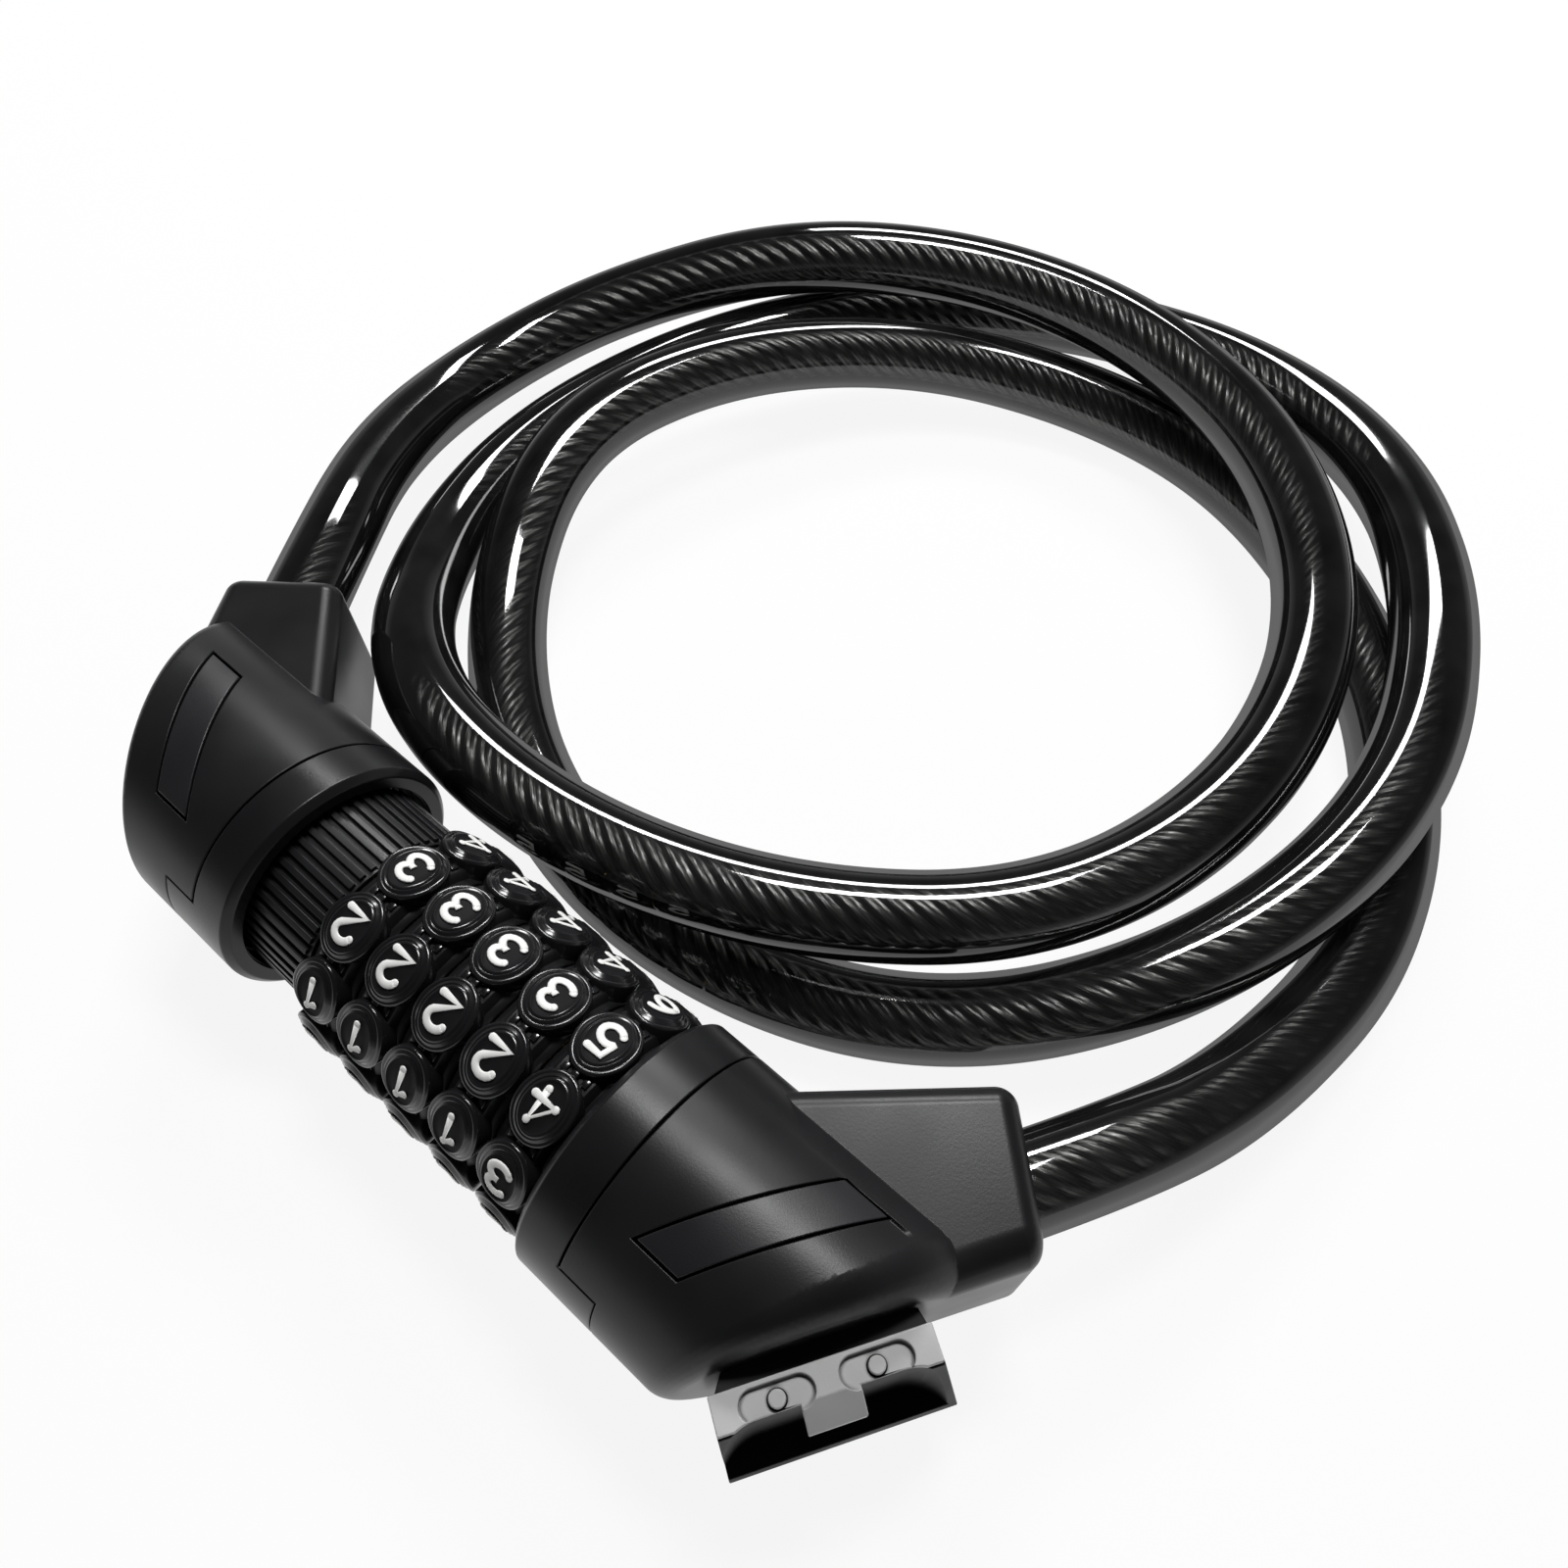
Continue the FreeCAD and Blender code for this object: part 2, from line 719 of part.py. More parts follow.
def hollow():
    """Hollow in the shoe's outer face: an upright wall, curved outwards at both ends, over a thin toe."""
    wall = -shoe_top_outer + hollow_depth
    half = hollow_straight / 2
    low = shoe_bottom + toe_thick
    middle = shoe_top_middle
    ends = [post(hollow_radius, middle + side * half, wall - hollow_radius, low, far) for side in (-1, 1)]
    bar = block((middle - half, middle + half), (wall - 2 * hollow_radius, wall), (low, far))
    return fused(ends + [bar])


def shoulder():
    """The neck outside the shell, widening from the head to the shoe."""
    near = gland_wall + fit_gap
    narrow, wide = neck_shoulder / 2, (shoe_top_length - 2 * fit_gap) / 2
    outline = [(neck_middle - narrow, -near), (neck_middle + narrow, -near),
               (shoe_top_middle + wide, -shoe_inner - 1), (shoe_top_middle - wide, -shoe_inner - 1)]
    return prism(outline, shoe_bottom + neck_rise, shoe_top - plate_thick)


def bracket_shoe():
    flange = neck(neck_flange_length, facet_bore - neck_flange_thick, facet_bore - fit_gap, 0)
    stem = neck(neck_length, facet_bore - neck_flange_thick, shoe_inner + 1, 0)
    body = fused([shoe_wedge(), stem, flange, shoulder()])
    body = body.cut(block((-far, far), (-far, 1 - shoe_inner), (shoe_top - plate_thick, far)))
    body = body.cut(hollow())
    for side in (-1, 1):
        middle, y = slot_place(side)
        floor = shoe_top - plate_thick - peg_length
        body = body.cut(post(peg_radius + fit_gap, middle, y, floor, far))
    return bent(body)


def tab():
    """Tongue that slopes down and out from the middle of the plate's outer edge."""
    root = -shoe_top_outer + hollow_depth
    side = [(root + plate_thick, shoe_top), (root, shoe_top), (root - tab_reach, shoe_top - tab_drop),
            (root - tab_reach, shoe_top - tab_drop - plate_thick), (root, shoe_top - plate_thick),
            (root + plate_thick, shoe_top - plate_thick)]
    points = [FreeCAD.Vector(shoe_top_middle - tab_width / 2, y, z) for y, z in side]
    return flat_face(points).extrude(FreeCAD.Vector(tab_width, 0, 0))


def bracket_plate():
    corners = shoe_corners(shoe_top_middle, shoe_top_length, shoe_top_outer, shoe_top - plate_thick)
    outline = flat_face(corners)
    plate = outline.extrude(FreeCAD.Vector(0, 0, plate_thick)).cut(hollow())
    plate = fused([plate, tab()])
    for side in (-1, 1):
        plate = plate.cut(shoe_slot(side))
        middle, y = slot_place(side)
        plate = plate.cut(post(peg_radius + fit_gap, middle, y, 0, far))
    return bent(plate)


def bracket_pegs():
    pegs = []
    for side in (-1, 1):
        middle, y = slot_place(side)
        low = shoe_top - plate_thick - peg_length + fit_gap
        pegs.append(bent(post(peg_radius, middle, y, low, shoe_top)))
    return Part.makeCompound(pegs)


def shoe_window():
    """Opening in the shell and pocket in the block for the shoe's neck and inner flange."""
    gap = fit_gap
    window = neck(neck_length, facet_bore - neck_flange_thick, facet_distance + facet_round, gap)
    pocket = neck(neck_flange_length, facet_bore - neck_flange_thick - gap, facet_bore, gap)
    return bent(fused([window, pocket]))


# Cable

def route():
    """Corner points of the cable's path, from inside the plug gland to inside the main gland."""
    place = FreeCAD.Vector(front_x, axis_y, axis_z)

    def main_end(distance):
        return cable_point(main_cable, distance) + place

    def plug_end(distance):
        point = cable_point(plug_cable, distance)
        return FreeCAD.Vector(plug_front - point.x, point.y, point.z) + place

    middle = [FreeCAD.Vector(*point) for point in route_points]
    return [plug_end(jacket_start), plug_end(lead_out)] + middle + [main_end(lead_out), main_end(jacket_start)]


def smooth_path(points):
    """Straight runs joined by tangent arcs, and the arcs' radii."""
    edges = []
    radii = []
    start = points[0]
    for before, corner, after in zip(points, points[1:], points[2:]):
        back = before - corner
        ahead = after - corner
        cut = arc_share * min(back.Length, ahead.Length)
        back.normalize()
        ahead.normalize()
        turn = math.pi - back.getAngle(ahead)
        radius = cut / math.tan(turn / 2)
        radii.append(radius)
        entry = corner + back * cut
        leave = corner + ahead * cut
        inward = back + ahead
        inward.normalize()
        crown = corner + inward * (radius / math.cos(turn / 2) - radius)
        edges.append(Part.LineSegment(start, entry).toShape())
        edges.append(Part.Arc(entry, crown, leave).toShape())
        start = leave
    edges.append(Part.LineSegment(start, points[-1]).toShape())
    return Part.Wire(edges), radii


def swept(path, outer, inner):
    start = path.Edges[0].Vertexes[0].Point
    heading = path.Edges[0].tangentAt(path.Edges[0].FirstParameter)
    wires = [Part.Wire(Part.Circle(start, heading, outer).toShape())]
    body = path.makePipeShell(wires, True, False)
    if inner:
        hole = path.makePipeShell([Part.Wire(Part.Circle(start, heading, inner).toShape())], True, False)
        body = body.cut(hole)
    return body


def rope_path(path):
    """The jacket's path, run on at both ends into the ferrules."""
    edges = list(path.Edges)
    depth = jacket_start - ferrule_start - rope_radius
    first, last = edges[0], edges[-1]
    heading = first.tangentAt(first.FirstParameter)
    tail = last.tangentAt(last.LastParameter)
    begin = first.Vertexes[0].Point
    finish = last.Vertexes[1].Point
    edges[0] = Part.LineSegment(begin - heading * depth, first.Vertexes[1].Point).toShape()
    edges[-1] = Part.LineSegment(last.Vertexes[0].Point, finish + tail * depth).toShape()
    return Part.Wire(edges)


os.makedirs("parts", exist_ok=True)
pieces = {}

window = shoe_window()
main_outlet = gland(main_gland_width, main_gland_root, main_reach, main_reach_in, facet_round)
main_shell = shell(facet_distance, facet_round, main_outlet, main_cable, main_inlay).cut(window)
main_block = head_block(block_front, facet_bore, main_cable, main_inlay)
main_block = main_block.cut(rod(tube_radius + fit_gap, block_front - 1, tube_root + fit_gap))
main_block = main_block.cut(rod(washer_radius + gate_clearance, block_front - 1, spring_seat))
main_block = main_block.cut(window)
save("main_shell", main_shell)
save("main_band", band(band_front, disc_radius + key_height + 2 * gate_clearance, band_web))
save("main_inlay", inlay_ring(main_inlay, 0))
save("main_block", main_block)
save("main_shell_screw", shell_screw(main_inlay))
save("main_ferrule", ferrule(main_cable))
save("main_set_screw", set_screw(main_cable))
save("tube_pin", cross_pin(pin_x))
save("core_tube", core_tube())
save("detent_spring", detent_spring())
save("bracket_shoe", bracket_shoe())
save("bracket_plate", bracket_plate())
save("bracket_pegs", bracket_pegs())

ring = dial_ring()
disc = code_disc()
for number in range(1, dial_count + 1):
    save("dial_ring_%d" % number, at(ring, dial_x(number)))
    save("code_disc_%d" % number, at(disc, dial_x(number)))

save("thrust_washer", thrust_washer())
save("clutch_spring", clutch_spring())
save("cam_ring", cam_ring())
save("cam_pins", cam_pins())
save("reset_collar", reset_collar())
save("retaining_ring", retaining_ring())

plug_outlet = gland(plug_gland_width, plug_gland_root, plug_reach, plug_reach_in, gland_round)
plug_shell = shell(plug_facet_distance, plug_facet_round, plug_outlet, plug_cable, plug_inlay)
plug_block = head_block(spring_seat, plug_facet_bore, plug_cable, plug_inlay)
plug_block = plug_block.cut(rod(bolt_radius + fit_gap, block_front, bolt_root + fit_gap))
save("plug_shell", plug_side(plug_shell))
save("plug_band", plug_side(band(skirt_front, band_bore - 0.1, 0.5)))
save("plug_inlay", plug_side(inlay_ring(plug_inlay, 0)))
save("plug_block", plug_side(plug_block))
save("plug_shell_screw", plug_side(shell_screw(plug_inlay)))
save("plug_ferrule", plug_side(ferrule(plug_cable)))
save("plug_set_screw", plug_side(set_screw(plug_cable)))
save("bolt_pin", plug_side(cross_pin(pin_x)))
save("plug_bolt", plug_bolt())

path, radii = smooth_path(route())
jacket = swept(path, cable_radius, rope_radius + cable_clearance)
rope = swept(rope_path(path), rope_radius, 0)
keep("cable_jacket", jacket)
keep("cable_rope", rope)

section = math.pi * (cable_radius ** 2 - (rope_radius + cable_clearance) ** 2)
print("cable length %.0f, jacket volume %.0f, section times length %.0f"
      % (path.Length, jacket.Volume, section * path.Length))
print("bend radii", " ".join("%.0f" % radius for radius in radii))
print("route", [tuple(round(value, 2) for value in point) for point in route()])
box = FreeCAD.BoundBox()
for node, shape in pieces.items():
    if not node.startswith("cable_"):
        box.add(shape.BoundBox)
print("lock box x %.3f %.3f y %.3f %.3f z %.3f %.3f"
      % (box.XMin, box.XMax, box.YMin, box.YMax, box.ZMin, box.ZMax))
print(len(pieces), "pieces")
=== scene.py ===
"""Combination cable lock with five number dials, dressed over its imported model. Metres throughout."""
import json
import math

import bmesh
import bpy
from bpy.props import FloatProperty, FloatVectorProperty, IntProperty, PointerProperty
from mathutils import Matrix, Vector


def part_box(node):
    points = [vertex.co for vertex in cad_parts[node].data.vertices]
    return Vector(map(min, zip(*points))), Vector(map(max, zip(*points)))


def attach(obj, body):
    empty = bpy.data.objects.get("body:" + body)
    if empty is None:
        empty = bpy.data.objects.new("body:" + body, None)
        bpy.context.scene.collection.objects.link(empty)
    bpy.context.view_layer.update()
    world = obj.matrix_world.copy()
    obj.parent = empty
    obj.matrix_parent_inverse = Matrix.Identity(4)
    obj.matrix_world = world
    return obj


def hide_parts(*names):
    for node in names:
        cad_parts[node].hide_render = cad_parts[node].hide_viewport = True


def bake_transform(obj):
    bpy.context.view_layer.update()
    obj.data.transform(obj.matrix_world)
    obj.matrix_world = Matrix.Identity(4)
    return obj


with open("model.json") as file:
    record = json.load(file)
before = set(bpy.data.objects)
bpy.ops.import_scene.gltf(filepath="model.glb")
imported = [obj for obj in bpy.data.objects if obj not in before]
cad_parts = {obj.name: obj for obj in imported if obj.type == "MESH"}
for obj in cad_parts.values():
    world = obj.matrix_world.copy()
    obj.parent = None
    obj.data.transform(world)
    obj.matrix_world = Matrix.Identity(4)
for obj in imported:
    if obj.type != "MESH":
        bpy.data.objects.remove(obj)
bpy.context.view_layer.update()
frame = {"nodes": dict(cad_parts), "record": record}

bl_info = {
    "name": "Cable Lock",
    "version": (1, 0, 0),
    "blender": (4, 5, 0),
    "location": "View3D > Sidebar > Cable Lock",
    "description": "Five-dial cable lock with a see-through jacket over a twisted steel rope",
    "category": "Object",
}

MM = 0.001
NODES = frame["nodes"]
DIALS = range(1, 6)
PADS = 10
OPEN_CODE = {1: 3, 2: 3, 3: 3, 4: 3, 5: 5}

# points nearer than this are one point
SAME_PLACE = 0.5e-6

# the barrel's axis and the middle of each dial, from the model
tube_low, tube_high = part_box("core_tube")
AXIS = Vector((0.0, (tube_low[1] + tube_high[1]) / 2, (tube_low[2] + tube_high[2]) / 2))
DIAL_X = {}
for dial_number in DIALS:
    dial_low, dial_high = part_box("dial_ring_%d" % dial_number)
    DIAL_X[dial_number] = (dial_low[0] + dial_high[0]) / 2

# radius of the heads, how far a point of their skin may stray from it, and how far its normal may lean
band_low, band_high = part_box("main_band")
HEAD_RADIUS = (band_high[2] - band_low[2]) / 2
SKIN_DEPTH = 0.02 * MM
SKIN_LEAN = 0.9

# corner points of the cable's route in millimetres, from the plug head's gland to the main head's
ROUTE = [
    (-59.2, 6.02, 18.2), (-71.28, 25.36, 18.2), (-87.6, 48.5, 14), (-96.4, 75.9, 8),
    (-89.3, 104.1, 10.8), (-66.6, 128.4, 18.6), (-37.7, 147.2, 18.8), (-4.8, 151.8, 18.6),
    (26.7, 140.6, 18.6), (49.3, 114.5, 18.6), (56.1, 80.7, 18.6), (45.9, 48, 18.6), (18.9, 25.8, 18.6),
    (-13.8, 15.6, 18.6), (-45.4, 18.9, 18.6), (-68.3, 41.7, 9.5), (-78.5, 73.7, 6), (-71.6, 109, 6),
    (-53.6, 140.1, 6), (-26.7, 161.9, 6), (7.3, 170.3, 7), (39.2, 156.8, 13), (60.8, 127.9, 18.6),
    (72.3, 93.6, 18.6), (65, 58.2, 14), (42.8, 31, 6), (10.3, 17.4, 6), (-23.8, 20.6, 6),
    (-51.7, 40.4, 8), (-66, 69.1, 16), (-59.9, 101, 15), (-40, 130.4, 10), (-10.6, 145.9, 6),
    (20.3, 145.5, 6), (49, 130.6, 6), (70.2, 107.7, 6), (79.9, 78.5, 7), (76.3, 48.4, 11),
    (67, 26.63, 17), (54.92, 7.29, 17)]

# soft boxes: where each stands, what it faces, its length and its depth, and which way its length runs
NEAR_BOX = ((-0.12, 0.35, 0.82), (0.03, 0.03, 0.0), 0.30, 0.14)
FAR_BOX = ((-0.55, 0.86, 0.80), (0.0, 0.1, 0.0), 0.45, 0.18)
BOX_ACROSS = Vector((0.7547, 0.6561, 0.0))

# the room that the lock mirrors: height of the ray, then its brightness
ROOM_STOPS = ((0.0, 0.50), (0.10, 0.30), (0.28, 0.07), (0.7, 0.02))

# openness of a closed gap and of an open place, between which the shade painted into creases fades out
PAINTED_SHADE_OPENNESS = (0.55, 0.85)

# how the jacket clouds over towards its sides: facing, then the share that still gets through
JACKET_STOPS = ((0.0, 1.0), (0.14, 0.85), (0.24, 0.28), (0.30, 0.0))

# most that the jacket mirrors, at its very edge
JACKET_GLOSS = 0.13

# a pad's foot below the dial's raised middle, then its ripples: millimetres in from its edge, below its top
PAD_FOOT = 1.7 * MM
PAD_RIPPLES = ((0.0, 0.66), (0.14, 0.40), (0.42, 0.30), (0.58, 0.36), (0.70, 0.28), (0.95, 0.14),
               (1.10, 0.20), (1.22, 0.12), (1.42, 0.0), (1.56, 0.04), (1.66, 0.12), (2.4, 0.10), (3.2, 0.08))

# how far in from a pad's edge its matt face starts
MATT_FROM = 1.55 * MM

# blocks between two pads in millimetres: place along the barrel, width, length round it, and height;
# then how deep they sink into the dial, and their rounding
BOSSES = ((0.0, 0.95, 0.9, 0.7), (-1.55, 0.85, 1.1, 0.35), (1.55, 0.85, 1.1, 0.35))
BOSS_SINK = 0.4
BOSS_EDGE = 0.12 * MM

# how far the middle of a number's thickness stands above the pad's top
NUMBER_LIFT = 0.05 * MM


def length(label, text, default):
    """A size in metres."""
    return FloatProperty(name=label, description=text, default=default, min=0.0, soft_max=0.5,
                         precision=5, subtype="DISTANCE", unit="LENGTH")


def angle(label, text, degrees):
    """An angle, given in degrees and kept in radians."""
    return FloatProperty(name=label, description=text, default=math.radians(degrees), subtype="ANGLE",
                         unit="ROTATION")


def share(label, text, default):
    """A part of the whole, from 0 to 1."""
    return FloatProperty(name=label, description=text, default=default, min=0.0, max=1.0, subtype="FACTOR")


def power(label, text, default):
    """The power of a lamp."""
    return FloatProperty(name=label, description=text, default=default, min=0.0, unit="POWER")


def colour(label, text, default):
    """A linear colour."""
    return FloatVectorProperty(name=label, description=text, default=default, min=0.0, max=1.0, size=3,
                               subtype="COLOR")


class StageSettings(bpy.types.PropertyGroup):
    """Camera, lamps and floor."""
    camera_place: FloatVectorProperty(name="Camera", description="Where the camera stands", size=3,
                                      default=(0.06528, -0.0253, 0.1615), subtype="XYZ", unit="LENGTH")
    camera_tilt: angle("Tilt", "Camera's angle from straight down", 31.7)
    camera_turn: angle("Turn", "Camera's turn about the upright", 41.0)
    lens: FloatProperty(name="Lens", description="Focal length in millimetres on a 36 mm sensor",
                        default=28.6875, unit="CAMERA")
    near_lamp: power("Near lamp", "Power of the soft box above the lock", 5.4)
    far_lamp: power("Far lamp", "Power of the soft box behind the coil", 9.0)
    floor_colour: colour("Floor", "Colour of the floor", (0.86, 0.86, 0.86))
    floor_glow: share("Floor glow", "Share of the floor that shows white, the rest takes the shadow", 0.90)
    floor_size: length("Floor size", "Side of the square floor", 6.0)


class CableSettings(bpy.types.PropertyGroup):
    """Jacket and rope."""
    jacket_radius: length("Jacket radius", "Outside radius of the jacket", 6.0 * MM)
    lobe_radius: length("Strand radius", "Radius of one strand of the rope", 1.12 * MM)
    lobe_circle: length("Strand circle", "Radius on which the strands' centres lie", 2.88 * MM)
    strands: IntProperty(name="Strands", description="Strands round the rope", default=8, min=5, max=24)
    lay: length("Lay", "Length in which a strand goes once round", 25.0 * MM)
    into_ferrule: length("Into ferrule", "How far the rope runs on past the jacket", 16.2 * MM)
    slack: length("Slack", "Length of cable that bends when the plug is pulled", 200.0 * MM)
    steps: IntProperty(name="Steps", description="Rings for each point of the route", default=24, min=4,
                       max=32)
    smoke: colour("Smoke", "What one pass through the jacket lets through", (0.62, 0.62, 0.62))
    wire_colour: colour("Wire", "Colour of the rope's wires", (0.17, 0.17, 0.165))


class DialSettings(bpy.types.PropertyGroup):
    """Number dials."""
    width: length("Width", "Width of a dial", 7.7 * MM)
    body_radius: length("Body radius", "Radius of a dial between its pads", 14.3 * MM)
    bore: length("Bore", "Radius of the wide bore", 11.35 * MM)
    snug_bore: length("Snug bore", "Radius of the bore that turns on the code disc", 10.36 * MM)
    flange_start: length("Flange", "Half the width of the snug bore's wall", 2.7 * MM)
    waist: length("Waist", "Width of a dial's raised middle", 4.6 * MM)
    shoulder: length("Shoulder", "How far a dial's rims lie below its raised middle", 1.3 * MM)
    chamfer: length("Chamfer", "Width of the slope between the raised middle and a rim", 0.7 * MM)
    pad_half_width: length("Pad half width", "Half the pad's width along the barrel", 3.76 * MM)
    pad_half_length: length("Pad half length", "Half the pad's length round the barrel", 4.65 * MM)
    face_radius: length("Face radius", "Radius of the pad's number face", 15.85 * MM)
    code_angle: angle("Code angle", "Where the numbers of the open code stand, from +Y over the top", 73.5)
    digit_height: length("Number height", "Height of a number", 4.8 * MM)
    digit_width: length("Number width", "Width of a number", 5.8 * MM)
    stroke: length("Stroke", "Width of a number's stroke", 0.98 * MM)
    relief: share("Relief", "Thickness of a number as a share of its stroke", 0.3)
    dial_colour: colour("Dial", "Colour of the dials", (0.010, 0.010, 0.011))
    number_colour: colour("Numbers", "Colour of the numbers", (0.86, 0.86, 0.84))


class HeadSettings(bpy.types.PropertyGroup):
    """Shells, bands and inlay plates of both heads, and the reset collar."""
    edge: length("Edge", "Rounding of a shell's sharp edges", 0.18 * MM)
    shell_colour: colour("Shell", "Colour of the shells", (0.012, 0.012, 0.013))
    band_colour: colour("Band", "Colour of the bands", (0.010, 0.010, 0.011))
    inlay_colour: colour("Inlay", "Colour of the inlay plates", (0.016, 0.016, 0.018))
    collar_edge: length("Collar edge", "Rounding of the collar's sharp edges", 0.1 * MM)
    collar_colour: colour("Collar", "Colour of the reset collar", (0.012, 0.012, 0.013))


class BracketSettings(bpy.types.PropertyGroup):
    """Shoe, plate and pegs."""
    edge: length("Edge", "Rounding of the sharp edges", 0.15 * MM)
    shoe_colour: colour("Shoe", "Colour of the shoe", (0.020, 0.020, 0.021))
    plate_colour: colour("Plate", "Colour of the plate", (0.48, 0.48, 0.48))
    # how far the shade painted into the plate's narrow gaps reaches
    crease: length("Crease", "How far the shade of a narrow gap reaches on the plate", 0.7 * MM)


class WorksSettings(bpy.types.PropertyGroup):
    """Metals of the pieces inside."""
    zinc: colour("Zinc", "Colour of the cast blocks", (0.50, 0.51, 0.53))
    alloy: colour("Alloy", "Colour of the ferrules", (0.66, 0.66, 0.68))
    steel: colour("Steel", "Colour of turned steel", (0.56, 0.56, 0.58))
    spring_steel: colour("Spring steel", "Colour of springs and rings", (0.42, 0.42, 0.44))
    brass: colour("Brass", "Colour of the code discs and cam ring", (0.72, 0.55, 0.27))


# Materials

def add_node(tree, kind, **inputs):
    """A shader node with its inputs set by name."""
    node = tree.nodes.new(kind)
    for name, value in inputs.items():
        node.inputs[name.replace("_", " ")].default_value = value
    return node


def surface_coordinates(tree, stretch=(1, 1, 1), attribute=None):
    """Object coordinates, or a piece's own attribute, scaled along each axis."""
    mapping = add_node(tree, "ShaderNodeMapping", Scale=stretch)
    if attribute:
        source = tree.nodes.new("ShaderNodeAttribute")
        source.attribute_name = attribute
        tree.links.new(source.outputs["Vector"], mapping.inputs["Vector"])
    else:
        source = tree.nodes.new("ShaderNodeTexCoord")
        tree.links.new(source.outputs["Object"], mapping.inputs["Vector"])
    return mapping.outputs["Vector"]


def spread(tree, factor, low, high, start=0.3, end=0.7):
    """A number from low to high as the factor goes from start to end."""
    remap = add_node(tree, "ShaderNodeMapRange", From_Min=start, From_Max=end, To_Min=low, To_Max=high)
    tree.links.new(factor, remap.inputs["Value"])
    return remap.outputs["Result"]


def tint(tree, factor, dark, light):
    """A colour between a dark and a light shade, by a noise's factor."""
    ramp = tree.nodes.new("ShaderNodeValToRGB")
    lay_stops(ramp, ((0.3, dark), (0.7, light)))
    tree.links.new(factor, ramp.inputs["Fac"])
    return ramp.outputs["Color"]


def shaded(base, amount):
    """A colour made darker or lighter."""
    return [min(1, channel * amount) for channel in base]


def bump(tree, heights, depth):
    """A surface normal that follows a pattern of heights."""
    node = add_node(tree, "ShaderNodeBump", Strength=1.0, Distance=depth)
    tree.links.new(heights, node.inputs["Height"])
    return node.outputs["Normal"]


def lay_stops(ramp, stops):
    """Set a ramp's stops, each a position and a colour."""
    for number, (position, shade) in enumerate(stops):
        elements = ramp.color_ramp.elements
        stop = elements[number] if number < 2 else elements.new(position)
        stop.position = position
        stop.color = (*shade, 1)


def finish_material(name, base, rough, metallic=0.0, grain=0.5 * MM, depth=0.01 * MM, blotch=12.0 * MM,
                    stretch=(1, 1, 1), rough_swing=0.06, shade_swing=0.12, specular=0.5):
    """Moulded, cast or brushed surface: fine grain in the bump, slow blotches in the gloss and the shade."""
    material = bpy.data.materials.new(name)
    material.use_nodes = True
    tree = material.node_tree
    shader = tree.nodes["Principled BSDF"]
    place = surface_coordinates(tree, stretch)
    fine = add_node(tree, "ShaderNodeTexNoise", Scale=1 / grain, Detail=3.0, Roughness=0.6)
    slow = add_node(tree, "ShaderNodeTexNoise", Scale=1 / blotch, Detail=2.0, Roughness=0.5)
    tree.links.new(place, fine.inputs["Vector"])
    tree.links.new(place, slow.inputs["Vector"])
    mottle = tint(tree, slow.outputs["Fac"], shaded(base, 1 - shade_swing), shaded(base, 1 + shade_swing))
    tree.links.new(mottle, shader.inputs["Base Color"])
    gloss = spread(tree, slow.outputs["Fac"], rough - rough_swing, rough + rough_swing)
    tree.links.new(gloss, shader.inputs["Roughness"])
    tree.links.new(bump(tree, fine.outputs["Fac"], depth), shader.inputs["Normal"])
    shader.inputs["Metallic"].default_value = metallic
    shader.inputs["Specular IOR Level"].default_value = specular
    return material


def with_painted_crease_shade(material, reach):
    """Paint shade into the creases and narrow gaps of a surface: a near-black colour where ambient occlusion
    finds them closed in.
    """
    tree = material.node_tree
    shader = tree.nodes["Principled BSDF"]
    plain = shader.inputs["Base Color"].links[0].from_socket
    gaps = add_node(tree, "ShaderNodeAmbientOcclusion", Distance=reach)
    gaps.samples = 8
    shade = spread(tree, gaps.outputs["AO"], 0.0, 1.0, *PAINTED_SHADE_OPENNESS)
    mix = tree.nodes.new("ShaderNodeMix")
    mix.data_type = "RGBA"
    # painted shade: the near-black colour laid into closed-in places
    mix.inputs["A"].default_value = (0.01, 0.01, 0.01, 1)
    tree.links.new(shade, mix.inputs["Factor"])
    tree.links.new(plain, mix.inputs["B"])
    tree.links.new(mix.outputs["Result"], shader.inputs["Base Color"])
    return material


